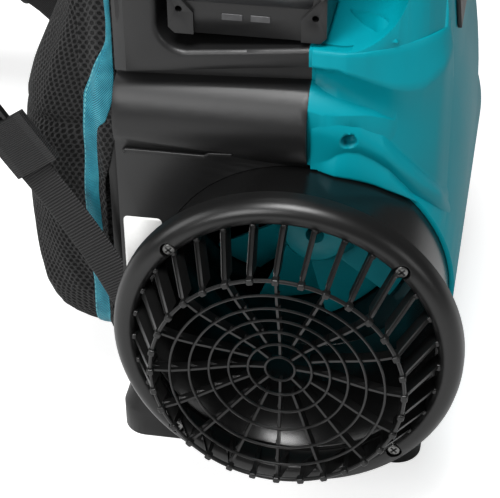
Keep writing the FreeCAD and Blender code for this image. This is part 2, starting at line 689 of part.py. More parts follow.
def make_intake_grille():
    """Basket grille: a rolled lip, conical fins, and a dished web of rings and spokes."""
    body = duct_body("intake_grille")
    outer, inner = size("lip_radius"), size("lip_inner_radius")
    front, back = size("lip_front_x"), size("lip_back_x")
    lip = [(back, inner), (back, outer - 1.5), (back - 2, outer), (back - 7, outer), (front, outer - 9, 10.5),
           (front + 1, outer - 12), (back - 8, inner)]
    spin(body, outline(body, "XY", lip))
    tip_x, tip = size("basket_front_x"), size("basket_radius")
    width, depth = size("fin_width"), size("fin_depth")
    fin = [(front + 6, inner + 3), (tip_x + 1, tip + 1), (tip_x + 1, tip - 1.2), (tip_x + depth, tip - 1.2),
           (back - 1, inner - 0.5), (back - 1, inner + 3)]
    first_fin = pad(body, outline(body, "XY", fin), width, toward=0)
    polar(body, [first_fin], size("fin_count"))
    ring_depth, ring_width = size("web_ring_depth"), size("web_ring_width")
    spoke_depth, spoke_width = size("spoke_depth"), size("spoke_width")
    radii = web_radii()
    back_line = [(web_x(r) + spoke_depth, r) for r in radii[1:]]
    front_line = [(web_x(r) + ring_depth / 2, r) for r in radii[1:]]
    spoke = pad(body, outline(body, "XY", front_line + back_line[::-1]), spoke_width, toward=0)
    polar(body, [spoke], size("spoke_count"))
    hub_x = web_x(radii[0])
    hub_spoke = box_loop(hub_x + ring_depth / 2, radii[0] - 0.5, hub_x + ring_depth / 2 + 4, radii[1] + 0.5)
    short = pad(body, outline(body, "XY", hub_spoke), spoke_width, toward=0)
    polar(body, [short], size("hub_spoke_count"))
    reach, room = size("grille_screw_radius") * 0.7071, size("grille_screw_head") + 1
    seats = [[(sy * reach, sz * reach, room)] for sy in (-1, 1) for sz in (-1, 1)]
    floor_x = front + size("grille_screw_seat")
    rings = []
    for r in radii:
        edge = ring_width / 2 if r is not radii[-1] else ring_width * 0.7
        x = web_x(r)
        rings.append(box_loop(x - ring_depth / 2, r - edge, x + ring_depth / 2 + 0.8, r + edge))
    spin(body, outline(body, "XY", *rings))
    pocket(body, outline(body, "YZ", *seats, lift=floor_x), size("grille_screw_seat") + 2, toward=-1)
    return body


def make_grille_screws():
    """Four pan-head screws through the lip into the neck."""
    reach, head = size("grille_screw_radius") * 0.7071, size("grille_screw_head")
    front = size("lip_front_x") + size("grille_screw_seat") - size("grille_screw_head_z") - 0.02
    screws = []
    for i, (sy, sz) in enumerate(((1, 1), (-1, 1), (1, -1), (-1, -1))):
        y, z = duct_y + sy * reach, duct_z + sz * reach
        screws.append(rod(f"grille_screw_{i}", head, size("grille_screw_head_z"), "X", front, y, z))
    return group("grille_screws", screws)


def make_fan_casing():
    """Straight round casing with a flange at each end."""
    body = duct_body("fan_casing")
    bore, skin = size("throat_radius"), size("casing_wall")
    start, end = size("neck_end_x"), size("casing_end_x")
    rim, thick = bore + skin + size("flange_width"), size("flange_thick")
    profile = [(start, bore), (end, bore), (end, rim), (end - thick, rim), (end - thick, bore + skin),
               (start + thick, bore + skin), (start + thick, rim), (start, rim)]
    spin(body, outline(body, "XY", profile))
    return body


def make_outlet_reducer():
    """From the round casing to the smaller outlet, whose axis is higher."""
    body = new_body("outlet_reducer", 0, duct_y, 0)
    big, skin = size("throat_radius"), size("casing_wall")
    small = size("outlet_radius") - skin
    start, end, rise = size("casing_end_x"), size("outlet_x"), size("outlet_z")
    thick, rim = size("flange_thick"), size("flange_width")
    pad(body, outline(body, "YZ", [(0, duct_z, big + skin + rim)], lift=start), thick)
    loft(body, [outline(body, "YZ", [(0, duct_z, big + skin)], lift=start + thick),
                outline(body, "YZ", [(0, rise, small + skin)], lift=end - thick)], ruled=True)
    pad(body, outline(body, "YZ", [(0, rise, small + skin + rim)], lift=end - thick), thick)
    loft(body, [outline(body, "YZ", [(0, duct_z, big)], lift=start),
                outline(body, "YZ", [(0, rise, small)], lift=end)],
         cuts=True, ruled=True)
    return body


def make_impeller():
    """Fan wheel: a cone hub with a hole in its nose and swept, twisted blades."""
    body = duct_body("impeller")
    nose_x, back_x = size("nose_x"), size("impeller_back_x")
    nose, hub, bore = size("nose_radius"), size("hub_radius"), size("shaft_radius") + 0.02
    hole, deep = size("nose_hole_radius"), size("nose_hole_depth")
    profile = [(nose_x, hole), (nose_x, nose - 2), (nose_x + 2, nose), (back_x - 8, hub - 2), (back_x, hub),
               (back_x, hub - 4), (back_x - 4, hub - 5), (nose_x + deep + 6, nose - 6),
               (nose_x + deep + 6, bore + 6),
               (back_x, bore + 6), (back_x, bore), (nose_x + deep, bore), (nose_x + deep, hole)]
    spin(body, outline(body, "XY", profile))
    tip = size("throat_radius") - size("tip_gap")
    middle = (nose_x + back_x) / 2

    def blade(radius, half_chord, sweep, lean, thick):
        rise = half_chord * 0.62
        run = half_chord * 0.95
        return outline(body, "XY", [(middle - rise + lean, sweep - run),
                                    (middle - rise + lean + thick, sweep - run),
                                    (middle + rise + lean, sweep + run),
                                    (middle + rise + lean - thick, sweep + run)],
                       lift=radius)

    root_section = blade(nose - 2, nose * 0.62, Size.of(0), Size.of(0), 3.4)
    tip_section = blade(tip, hub * 0.56, Size.of(6), Size.of(1), 2.0)
    first = loft(body, [root_section, tip_section], ruled=True)
    polar(body, [first], size("blade_count"))
    outside = outline(body, "XY", [(nose_x - 30, tip), (back_x + 30, tip), (back_x + 30, tip + 30),
                                   (nose_x - 30, tip + 30)])
    spin(body, outside, cuts=True)
    inside = outline(body, "XY", [(nose_x + deep + 8, bore + 8), (back_x + 12, bore + 8),
                                  (back_x + 12, hub - 5),
                                  (back_x - 4, hub - 5), (nose_x + deep + 8, nose - 8)])
    spin(body, inside, cuts=True)
    return body


def make_impeller_screw():
    """Cap screw at the bottom of the nose hole."""
    start = size("nose_x") + size("nose_hole_depth") - 5.3
    head = rod("screw_head", size("shaft_radius") - 0.4, 4, "X", start, duct_y, duct_z)
    socket = rod("screw_socket", 2, 3, "X", start - 0.5, duct_y, duct_z)
    return less("impeller_screw", head, socket)


def make_motor_shaft():
    start = size("nose_x") + size("nose_hole_depth") - 1
    end = size("stator_x") + size("stator_length") + 14
    shaft = rod("motor_shaft", size("shaft_radius"), end - start, "X", start, duct_y, duct_z)
    return shaft


def make_guide_vanes():
    """Motor cup with the fixed vanes that hold it in the casing."""
    body = duct_body("guide_vanes")
    cup, skin, bore = size("hub_radius"), size("cup_wall"), size("throat_radius")
    front = size("motor_front_x")
    end = size("stator_x") + size("stator_length") + 2
    seat, width = size("bearing_radius"), size("bearing_width")
    profile = [(front, seat - 3), (front, cup - 3), (front + 3, cup), (end, cup), (end, cup - skin),
               (front + width + 2, cup - skin), (front + width + 2, seat), (front + 2, seat),
               (front + 2, seat - 3)]
    spin(body, outline(body, "XY", profile))
    start = front + 4
    chord, thick = size("vane_chord"), size("vane_thick")

    def vane(radius, lean):
        return outline(body, "XY", [(start, -thick / 2 - lean), (start + chord, -thick / 2),
                                    (start + chord, thick / 2),
                                    (start, thick / 2 - lean)], lift=radius)

    first = loft(body, [vane(cup - 1.5, Size.of(9)), vane(bore - 0.02, Size.of(15))], ruled=True)
    polar(body, [first], size("vane_count"))
    over = outline(body, "XY", [(start - 20, bore), (start + 80, bore), (start + 80, bore + 20),
                                (start - 20, bore + 20)])
    spin(body, over, cuts=True)
    return body


def make_bearing(label, x):
    """Ring bearing: bore on the shaft, outside in its seat."""
    body = duct_body(label)
    outer, inner, width = size("bearing_radius"), size("shaft_radius") + 0.02, size("bearing_width")
    spin(body, outline(body, "XY", box_loop(x, inner, x + width, outer)))
    return body


def make_bearings():
    """The bearing behind the impeller and the one in the end cap."""
    rear_x = size("stator_x") + size("stator_length") + 2
    return group("bearings", [make_bearing("front_bearing", size("motor_front_x") + 2),
                              make_bearing("rear_bearing", rear_x)])


def make_stator():
    """Laminated ring with twelve winding slots."""
    body = duct_body("motor_stator")
    start, length = size("stator_x"), size("stator_length")
    outer, inner = size("hub_radius") - size("cup_wall"), size("stator_bore_radius")
    pad(body, outline(body, "YZ", [(0, 0, outer)], [(0, 0, inner)], lift=start), length)
    slot = outline(body, "YZ", box_loop(inner - 2, -2.5, outer - 6, 2.5), lift=start - 1)
    first = pocket(body, slot, length + 2)
    polar(body, [first], 12)
    return body


def make_rotor():
    body = duct_body("motor_rotor")
    start, length = size("stator_x"), size("stator_length")
    outer, inner = size("stator_bore_radius") - size("rotor_gap"), size("shaft_radius") + 0.02
    pad(body, outline(body, "YZ", [(0, 0, outer)], [(0, 0, inner)], lift=start), length)
    return body


def make_end_cap():
    """Rear wall of the motor cup, with the second bearing's seat, and the tail cone behind it."""
    body = duct_body("motor_end_cap")
    start = size("stator_x") + size("stator_length") + 2
    cup, seat, width = size("hub_radius"), size("bearing_radius"), size("bearing_width")
    profile = [(start, seat), (start, cup), (start + 6, cup), (start + 6, cup - 3),
               (start + width + 2, cup - 10),
               (start + width + 2, 8), (start + width, 8), (start + width, seat)]
    spin(body, outline(body, "XY", profile))
    return body


def make_tail_cone():
    body = duct_body("tail_cone")
    start = size("stator_x") + size("stator_length") + 8
    end = start + size("tail_length")
    cup, tip = size("hub_radius"), size("tail_radius")
    middle, waist = start + (end - start) * 0.55, (cup + tip) / 2 + 3
    profile = [(start, cup - 3), (start, cup), (middle, waist), (end - 6, tip + 4), (end, tip - 4), (end, 0),
               (end - 3, 0), (end - 6, tip - 6), (end - 12, tip + 2), (middle - 2, waist - 4),
               (start + 4, cup - 6)]
    spin(body, outline(body, "XY", profile))
    return body


def make_elbow():
    """Outlet elbow: out through the right panel, then a quarter turn forward."""
    body = new_body("outlet_elbow", 0, duct_y, size("outlet_z"))
    outer, skin = size("outlet_radius"), size("outlet_wall")
    start, first = size("outlet_x"), half_width + size("elbow_start")
    bend, last = size("elbow_bend"), size("elbow_end")
    route = draw(new_sketch(body, "XY"),
                 [[(start, 0), (first, 0), (first + bend, bend, bend), (first + bend, bend + last)]],
                 closed=False)
    section = outline(body, "YZ", [(0, 0, outer)], [(0, 0, outer - skin)], lift=start)
    add(body, "AdditivePipe", Profile=section, Spine=route)
    collar = outline(body, "YZ", [(0, 0, outer + 12)], [(0, 0, outer - 1)], lift=half_width)
    pad(body, collar, 5)
    return body


def hose_x():
    return half_width + size("elbow_start") + size("elbow_bend")


def hose_start():
    """The hose begins where it is pushed over the elbow's end."""
    return duct_y + size("elbow_bend") + 2


def ribbed_tube(label, start, length, cuff_first):
    """Hose stretch along Y: a plain end, then ribs as a ruled loft through four circles each."""
    x, z = number(hose_x()), number(size("outlet_z"))
    crest, valley, bore = number(size("hose_radius")), number(size("hose_valley")), number(size("hose_bore"))
    ribs, y = int(SIZES["hose_ribs"]), number(start)
    plain = number(size("elbow_end")) - 2 if cuff_first else 3.0
    end_plain = 3.0
    pitch = (number(length) - plain - end_plain) / ribs
    wide = number(size("outlet_radius")) + 0.3
    thick = number(size("hose_valley")) - bore
    first = wide + thick if cuff_first else valley + 1.5
    radii = [(y, first), (y + plain + (1 if cuff_first else 0), first)]
    for k in range(ribs):
        foot = y + plain + k * pitch
        radii += [(foot + 0.15 * pitch, valley), (foot + 0.4 * pitch, crest), (foot + 0.7 * pitch, crest),
                  (foot + 0.95 * pitch, valley)]
    radii += [(y + number(length) - end_plain, valley + 1.5), (y + number(length), valley + 1.5)]
    along = FreeCAD.Vector(0, 1, 0)
    rings = [Part.Wire(Part.makeCircle(r, FreeCAD.Vector(x, at, z), along)) for at, r in radii]
    shape = Part.makeLoft(rings, True, True)
    hole = Part.makeCylinder(bore, number(length) + 2, FreeCAD.Vector(x, y - 1, z), along)
    if cuff_first:
        hole = hole.fuse(Part.makeCylinder(wide, plain + 1, FreeCAD.Vector(x, y - 1, z), along))
    return formed(label, shape.cut(hole))


def make_hose():
    """Two ribbed stretches with a rigid ring between them, and the rigid cuff that holds the swivel pipe."""
    start, length, ring = hose_start(), size("hose_length"), size("ring_length")
    x, z, bore, valley = hose_x(), size("outlet_z"), size("hose_bore"), size("hose_valley")
    rear = ribbed_tube("hose_rear", start, length, True)
    ring_y = start + length + seat_gap
    middle = tube("hose_ring", valley + 4, bore, ring, "Y", x, ring_y, z)
    front_y_ = ring_y + ring
    front = ribbed_tube("hose_front", front_y_, length, False)
    cuff_y = front_y_ + length + seat_gap
    body = new_body("hose_cuff", x, cuff_y, z)
    pipe, cuff = size("pipe_radius"), size("cuff_length")
    outer = pipe + 4
    profile = [(bore, 0), (outer, 0), (outer, 8), (outer + 2, 10), (outer + 2, cuff - 3), (outer, cuff),
               (pipe + run_gap, cuff), (pipe + run_gap, 6), (bore, 6)]
    spin(body, outline(body, "XY", profile), axis="Y")
    return [rear, middle, front, body]


def cuff_start():
    return hose_start() + 2 * size("hose_length") + size("ring_length") + 2 * seat_gap


def make_hose_band():
    """Steel band that clamps the hose on the elbow."""
    thick, width, valley = size("band_thick"), size("band_width"), size("hose_valley")
    cuff = size("outlet_radius") + 0.3 + valley - size("hose_bore")
    return tube("hose_band", cuff + thick, cuff, width, "Y", hose_x(), hose_start() + 3, size("outlet_z"))


def make_swivel_pipe():
    """Round pipe that turns in the cuff and carries the control handle."""
    body = new_body("swivel_pipe", hose_x(), cuff_start(), size("outlet_z"))
    outer, skin, length = size("pipe_radius"), size("pipe_wall"), size("swivel_length")
    start, cuff = 6 + run_gap, size("cuff_length")
    profile = [(outer - skin, start), (outer, start), (outer, cuff + run_gap), (outer + 2.5, cuff + run_gap),
               (outer + 2.5, cuff + 6), (outer, cuff + 6), (outer, length - 26), (outer + 1.5, length - 25),
               (outer + 1.5, length - 22), (outer, length - 21), (outer, length), (outer - skin, length)]
    spin(body, outline(body, "XY", profile), axis="Y")
    return body


def pipe_start():
    return cuff_start() + size("swivel_length") - size("pipe_overlap")


def make_lock_ring():
    """Ribbed ring that clamps the blower pipe at its length."""
    body = new_body("length_lock_ring", hose_x(), cuff_start() + size("swivel_length"), size("outlet_z"))
    outer, skin, gap = size("pipe_radius"), size("pipe_wall"), size("pipe_gap")
    inner = outer - skin - gap
    profile = [(outer + run_gap, -18), (outer + 6, -18), (outer + 6, 12), (outer + 3, 15), (inner + gap, 15),
               (inner + gap, run_gap), (outer + run_gap, run_gap)]
    spin(body, outline(body, "XY", profile), axis="Y")
    rib = outline(body, "XZ", box_loop(outer + 5, -2, outer + 8, 2), lift=-15)
    first = pad(body, rib, 24)
    polar(body, [first], 12, axis="Y")
    return body


def make_blower_pipe():
    """Long pipe that slides in the swivel pipe."""
    body = new_body("blower_pipe", hose_x(), pipe_start(), size("outlet_z"))
    outer = size("pipe_radius") - size("pipe_wall") - size("pipe_gap")
    skin, length = size("pipe_wall"), size("pipe_length")
    profile = [(outer - skin, 0), (outer, 0), (outer, length), (outer - skin, length)]
    spin(body, outline(body, "XY", profile), axis="Y")
    return body


def nozzle_start():
    return pipe_start() + size("pipe_length") - size("nozzle_overlap")


def make_nozzle():
    """Socket over the pipe's end, a taper and a straight mouth."""
    body = new_body("nozzle", hose_x(), nozzle_start(), size("outlet_z"))
    pipe = size("pipe_radius") - size("pipe_wall") - size("pipe_gap")
    skin, bore = size("pipe_wall"), pipe + run_gap
    tip, length, socket = size("nozzle_radius"), size("nozzle_length"), size("nozzle_overlap")
    throat = pipe - skin
    profile = [(bore, 0), (bore + 4, 0), (bore + 4, 10), (bore + 2, 12), (bore + 2, socket + 2),
               (tip, length - 26),
               (tip, length - 3), (tip + 1.5, length - 3), (tip + 1.5, length), (tip - skin, length),
               (tip - skin, length - 26), (throat, socket + 2), (throat, socket + run_gap),
               (bore, socket + run_gap)]
    spin(body, outline(body, "XY", profile), axis="Y")
    return body


def make_battery_carrier():
    """Hollow post between the two battery bays, with T rails on its sides."""
    body = new_body("battery_carrier")
    hx, top, floor_z = size("carrier_half_x"), size("carrier_top_z"), deck_z + seat_gap
    back, front = size("carrier_back_y"), column_y - seat_gap
    pad(body, outline(body, "XY", round_loop(-hx, back, hx, front, size("carrier_corner")), lift=floor_z),
        top - floor_z)
    room = round_loop(wall - hx, back + wall, hx - wall, front - wall, size("carrier_corner"))
    pocket(body, outline(body, "XY", room, lift=floor_z), top - floor_z - wall)
    edge = size("bay_corner") + 0.5
    corner = [(column_y - edge, deck_z), (column_y + 0.5, deck_z), (column_y + 0.5, deck_z + edge + 0.5)]
    pocket(body, outline(body, "YZ", corner), hx * 3, toward=0)
    stem, head = size("rail_stem"), size("rail_width") / 2
    reach, depth = size("rail_reach"), size("rail_depth")
    rails = []
    for side in (-1, 1):
        for y in (size("battery_y") - size("rail_spacing") / 2, size("battery_y") + size("rail_spacing") / 2):
            rail = [(hx - 1, y - stem), (hx + reach, y - stem), (hx + reach, y - head),
                    (hx + reach + depth, y - head),
                    (hx + reach + depth, y + head), (hx + reach, y + head), (hx + reach, y + stem),
                    (hx - 1, y + stem)]
            rails.append([(side * u, v) for u, v in rail])
    pad(body, outline(body, "XY", *rails, lift=size("rail_bottom_z")), size("rail_length"))
    return body


def make_battery(label, side):
    """Battery pack: local x runs outward from its inner face, z up from its bottom."""
    inner = size("carrier_half_x") + size("battery_gap")
    body = new_body(label, side * inner, size("battery_y"), size("battery_bottom_z"), (0, 0, 1),
                    90 - 90 * side)
    half, thick, tall = size("battery_width") / 2, size("battery_thick"), size("battery_height")
    corner = size("battery_corner")
    pad(body, outline(body, "YZ", round_loop(-half, 0, half, tall, corner)), thick)
    gap, stem, head = size("battery_gap"), size("rail_stem"), size("rail_width") / 2
    reach, depth = size("rail_reach") - gap, size("rail_depth")
    slots = []
    for y in (-size("rail_spacing") / 2, size("rail_spacing") / 2):
        slots.append([(-1, y - stem - gap), (reach - gap, y - stem - gap), (reach - gap, y - head - gap),
                      (reach + depth + gap, y - head - gap), (reach + depth + gap, y + head + gap),
                      (reach - gap, y + head + gap), (reach - gap, y + stem + gap), (-1, y + stem + gap)])
    slot_top = size("rail_bottom_z") + size("rail_length") - size("battery_bottom_z") + gap
    pocket(body, outline(body, "XY", *slots, lift=-1), slot_top + 1)
    port, port_top = size("terminal_width") / 2 + gap, size("terminal_top_z") - size("battery_bottom_z") + gap
    port_deep = size("terminal_depth") + gap
    pocket(body, outline(body, "XY", box_loop(-1, -port, port_deep, port), lift=-1), port_top + 1)
    well_x, well_y = size("latch_half_x") + run_gap, size("latch_half_y") + run_gap
    well_z = size("latch_height")
    well = box_loop(thick / 2 - well_x, -well_y, thick / 2 + well_x, well_y)
    pocket(body, outline(body, "XY", well, lift=tall), well_z, toward=-1)
    guard, low, high = size("guard_width"), size("guard_low"), size("guard_high")
    step, proud, cut = size("guard_step"), size("guard_proud"), size("guard_hole_radius")

    def corner_guard(way):
        return [(way * (half - guard), 0), (way * (half - step), 0), (way * half, step), (way * half, high),
                (way * (half - step), high), (way * (half - guard), low)]

    guards = outline(body, "YZ", corner_guard(1), corner_guard(-1)[::-1], lift=thick - 1)
    pad(body, guards, proud + 1)
    seat_y, seat_z = half - size("guard_hole_inset"), size("guard_hole_z")
    holes = outline(body, "YZ", [(seat_y, seat_z, cut)], [(-seat_y, seat_z, cut)], lift=thick + proud)
    pocket(body, holes, size("guard_hole_depth"), toward=-1)
    face = size("face_inset")
    plate = outline(body, "YZ", box_loop(face - half, high + face, half - face, tall - face), lift=thick)
    pocket(body, plate, size("face_depth"), toward=-1)

    return body


def make_battery_latch(label, side):
    """Release button in the top of a battery."""
    half_x, half_y, tall = size("latch_half_x"), size("latch_half_y"), size("latch_height")
    x = size("carrier_half_x") + size("battery_gap") + size("battery_thick") / 2
    base = size("battery_bottom_z") + size("battery_height") - tall + size("latch_travel") + 1
    body = new_body(label, side * x, size("battery_y"), base)
    pad(body, outline(body, "XY", round_loop(-half_x, -half_y, half_x, half_y, 3)), tall)
    grips = [box_loop(-half_x + 2, y - 0.75, half_x - 2, y + 0.75) for y in (-6.0, -2.0, 2.0, 6.0)]
    pocket(body, outline(body, "XY", *grips, lift=tall), 1, toward=-1)
    return body


def make_terminal(label, side):
    """Contact block on the carrier, with its blades."""
    hx, half, gap = size("carrier_half_x"), size("terminal_width") / 2, size("battery_gap")
    low, high, deep = size("terminal_bottom_z"), size("terminal_top_z"), size("terminal_depth")
    y = size("battery_y")
    body = new_body(label, 0, y, 0)
    face = [(side * u, v) for u, v in ((hx, low), (hx + deep - gap, low), (hx + deep - gap, high),
                                       (hx, high))]
    pad(body, outline(body, "XZ", face), half * 2, toward=0)
    edge = side * (hx + deep - gap)
    grooves = [box_loop(edge - 3, v - 1.2, edge + 3, v + 1.2) for v in (-14.0, -7.0, 0.0, 7.0, 14.0)]
    pocket(body, outline(body, "XY", *grooves, lift=high + 1), high - low - 2, toward=-1)
    return body


def make_terminals():
    return group("terminals", [make_terminal("terminal_left", -1), make_terminal("terminal_right", 1)])


def make_controller():
    """Motor controller on the deck inside the carrier: a box with cooling fins."""
    body = new_body("controller", 0, size("battery_y") + size("controller_shift"), deck_z + seat_gap)
    hx, hy, tall, fins = size("controller_half_x"), size("controller_half_y"), size("controller_height"), 9
    pad(body, outline(body, "XY", round_loop(-hx, -hy, hx, hy, 3)), tall)
    pitch = hx * 2 / fins
    gaps = [box_loop(pitch * (k + 0.5) - hx - 1.5, -hy - 1, pitch * (k + 0.5) - hx + 1.5,
                     hy + 1) for k in range(fins)]
    pocket(body, outline(body, "XY", *gaps, lift=tall), tall * 0.45, toward=-1)
    return body


def make_carry_handle():
    """Round bow on top of the column, on two flanged feet."""
    body = new_body("carry_handle", 0, size("handle_y"), 0)
    hx, top, bend, r = size("handle_half_x"), size("handle_z"), size("handle_bend"), size("handle_radius")
    start = column_top_z
    bow = [(-hx, start), (-hx, top - bend), (bend - hx, top, -bend), (hx - bend, top),
           (hx, top - bend, -bend),
           (hx, start)]
    route = draw(new_sketch(body, "XZ"), [bow], closed=False)
    section = outline(body, "XY", [(-hx, 0, r)], lift=start)
    add(body, "AdditivePipe", Profile=section, Spine=route)
    feet = [[(-hx, 0, r + size("handle_foot"))], [(hx, 0, r + size("handle_foot"))]]
    pad(body, outline(body, "XY", *feet, lift=start), size("handle_foot"))
    return body


def make_carry_grip():
    """Soft sleeve round the bow's straight part."""
    half = size("grip_sleeve_half")
    outer = size("handle_radius") + size("grip_sleeve_thick")
    return tube("carry_grip", outer, size("handle_radius") + 0.05, half * 2, "X", -half, size("handle_y"),
                size("handle_z"))


def make_back_plate():
    """Plate that carries the pad: vents in the middle and slots for the shoulder straps."""
    body = new_body("back_plate")
    hx, thick = size("plate_half_x"), size("plate_thick")
    low, high = size("plate_bottom_z"), size("plate_top_z")
    start = front_y + size("mount_thick")
    pad(body, outline(body, "XZ", round_loop(-hx, low, hx, high, size("plate_corner")), lift=start), thick)
    reach, slot, pitch = size("vent_half_x"), size("vent_height") / 2, size("vent_pitch")
    vents = [round_loop(-reach, low + pitch * (k + 1.6) - slot, reach, low + pitch * (k + 1.6) + slot,
                        slot * 0.8)
             for k in range(int(SIZES["vent_count"]))]
    pocket(body, outline(body, "XZ", *vents, lift=start), thick + 1)
    bolts = [[(sx * size("mount_half_x"), z, size("mount_bolt_radius") + 3)] for sx in (-1, 1)
             for z in (size("mount_low_z"), size("mount_high_z"))]
    pocket(body, outline(body, "XZ", *bolts, lift=start + thick), thick / 2, toward=-1)
    return body


def make_vibration_mounts():
    """Four waisted rubber mounts between the front housing and the back plate."""
    spools = []
    gap, thick, r = 0.02, size("mount_thick"), size("mount_radius")
    for i, (sx, z) in enumerate((sx, z) for sx in (-1, 1) for z in (size("mount_low_z"),
                                                                    size("mount_high_z"))):
        x = sx * size("mount_half_x")
        first = rod(f"mount_{i}_a", r, 2, "Y", x, front_y + gap, z)
        waist = rod(f"mount_{i}_b", r * 0.75, thick - 2 * gap, "Y", x, front_y + gap, z)
        last = rod(f"mount_{i}_c", r, 2, "Y", x, front_y + thick - 2 - gap, z)
        spools.append(joined(f"mount_{i}", first, waist, last))
    return group("vibration_mounts", spools)


def make_mount_bolts():
    """Bolt heads that hold the back plate on its rubber mounts."""
    y = front_y + size("mount_thick") + size("plate_thick") / 2
    heads = [rod(f"mount_bolt_{i}", size("mount_bolt_radius"), size("plate_thick") / 2 - 0.4, "Y",
                 sx * size("mount_half_x"), y, z)
             for i, (sx, z) in enumerate((sx, z) for sx in (-1, 1) for z in (size("mount_low_z"),
                                                                             size("mount_high_z")))]
    return group("mount_bolts", heads)


PAD_STATIONS = ((0, 0.36, 0.93), (0.03, 0.68, 0.97), (0.10, 0.90, 1.0), (0.28, 1.0, 1.0), (0.47, 0.97, 1.0),
                (0.66, 0.56, 0.99), (0.84, 0.32, 0.96), (1, 0.28, 0.88))


def pad_start():
    return front_y + size("mount_thick") + size("plate_thick") + seat_gap


def pad_border(margin):
    """The pad's outline seen from the front, moved outward by a margin."""
    low, tall = size("pad_bottom_z"), size("pad_top_z") - size("pad_bottom_z")
    half = [(size("pad_half_x") * width + margin, low + tall * up) for up, depth, width in PAD_STATIONS]
    half[0] = (half[0][0], low - margin)
    half[-1] = (half[-1][0], low + tall + margin)
    return mirrored(half)


def make_back_pad():
    """Ventilated back pad: a crowned cushion, deepest at the small of the back."""
    body = new_body("back_pad")
    start, deep, crown = pad_start(), size("pad_depth"), size("pad_crown")
    low, tall = size("pad_bottom_z"), size("pad_top_z") - size("pad_bottom_z")
    sections = []
    for up, depth, width in PAD_STATIONS:
        w, y = size("pad_half_x") * width, start + deep * depth
        radius = (w * w + crown * crown) / (crown * 2)
        loop = [(-w, start), (w, start), (w, y), (-w, y, radius)]
        sections.append(outline(body, "XY", loop, lift=low + tall * up))
    loft(body, sections)
    around_edge = outline(body, "XZ", pad_border(Size.of(30)), pad_border(-size("binding_bite") - seat_gap),
                          lift=start)
    pocket(body, around_edge, size("binding_width") + seat_gap)
    return body


def make_pad_binding():
    """Band sewn round the pad's rear edge."""
    body = new_body("pad_binding")
    edge = outline(body, "XZ", pad_border(Size.of(0) + size("binding_proud")),
                   pad_border(-size("binding_bite")),
                   lift=pad_start())
    pad(body, edge, size("binding_width"))
    return body


def crowned_wire(centre, across, out, width, thick, crown):
    """Cross section of a strap: straight sides, crowned faces."""
    a, b = across * (width / 2), out * (thick / 2)
    bow = out * crown
    corners = [centre - a - b, centre + a - b, centre + a + b, centre - a + b]
    return Part.Wire([Part.Arc(corners[0], centre - b - bow, corners[1]).toShape(),
                      Part.makeLine(corners[1], corners[2]),
                      Part.Arc(corners[2], centre + b + bow, corners[3]).toShape(),
                      Part.makeLine(corners[3], corners[0])])


def strap_shape(route, widths, thicks, twists, crown):
    """A strap lofted along a route of (x, y, z); twist 0 has its width along X, 90 in the route's plane."""
    points = [FreeCAD.Vector(*[number(v) for v in place_]) for place_ in route]
    wires = []
    for i, point in enumerate(points):
        ahead, behind = points[min(i + 1, len(points) - 1)], points[max(i - 1, 0)]
        along = (ahead - behind).normalize()
        side = FreeCAD.Vector(1, 0, 0) - along * along.x
        side.normalize()
        up = along.cross(side)
        turn = math.radians(twists[i])
        across = side * math.cos(turn) + up * math.sin(turn)
        out = along.cross(across)
        wires.append(crowned_wire(point, across, out, number(widths[i]), number(thicks[i]), number(crown)))
    return Part.makeLoft(wires, True, False)


def strap_route(side, drop, reach, lean):
    """Centre line of a shoulder strap, from the back plate over the shoulder to just above its lock."""
    start = front_y + size("mount_thick") + size("plate_thick") + seat_gap
    x, low = size("strap_x"), size("lock_x") - size("strap_x")
    top, out = size("strap_top_z"), size("strap_loop_y") - start
    fall = top - size("lock_z")
    shares = [(0, 0, 0, 0), (0, 0.04, 0, 0), (0.02, 0.20, -0.04, 0), (0.08, 0.50, -0.03, 0.05),
              (0.20, 0.78, 0.08, 0.2), (0.40, 0.96, 0.27, 0.5), (0.66, 1.0, 0.50, 0.85)]
    route = [(side * (x + low * a), start + out * b + reach * k, top - fall * c - drop * k) for a, b, c,
             k in shares]
    lock = lock_place(side, drop, reach)
    for share, up in ((0.86, size("lock_length") * 2.1), (0.96, size("lock_length") + 4)):
        route.append((side * (x + low * share), lock[1] + up * sine(lean), lock[2] + up * cosine(lean)))
    return route


def make_shoulder_strap(label, side, drop, reach, lean):
    """Padded strap, wide over the shoulder and narrow at the lock, where it has turned a quarter."""
    wide, narrow, thick = size("strap_width"), size("lock_width") - 10, size("strap_thick")
    widths = [wide - 8, wide - 8, wide, wide + 4, wide + 4, wide, wide - 8, wide - 18, narrow]
    thicks = [thick - 3, thick - 3, thick, thick + 1, thick + 1, thick, thick, thick - 2, thick - 5]
    twists = [side * turn for turn in (0, 0, 0, 3, 10, 24, 44, 68, 90)]
    route = strap_route(side, drop, reach, lean)
    return formed(label, strap_shape(route, widths, thicks, twists, size("strap_crown")))


def lock_place(side, drop, reach):
    return side * size("lock_x"), size("lock_y") + reach, size("lock_z") - drop


def anchor_place(side):
    out = half_width + size("anchor_thick") + size("webbing_thick") / 2 + 0.2
    return side * out, size("anchor_y"), size("anchor_z")


def make_webbing(label, side, drop, reach, lean):
    """Flat webbing from the anchor on the side panel to the ladder lock."""
    x, y, z = lock_place(side, drop, reach)
    ax, ay, az = anchor_place(side)
    route = [(ax + (x - ax) * t, ay + (y - ay) * t, az + (z - az) * t) for t in (-0.06, 0.12, 0.35, 0.65,
                                                                                 0.96)]
    up = size("lock_length") + 3.4
    route.append((x - (ax - x) * 0.19, y + up * sine(lean), z + up * cosine(lean)))
    route[0] = (ax, route[0][1], route[0][2])
    route[1] = (ax, route[1][1], route[1][2])
    count = len(route)
    width, thick = size("webbing_width"), size("webbing_thick")
    shape = strap_shape(route, [width] * count, [thick] * count, [90 * side] * count, Size.of(0.1))
    return formed(label, shape)


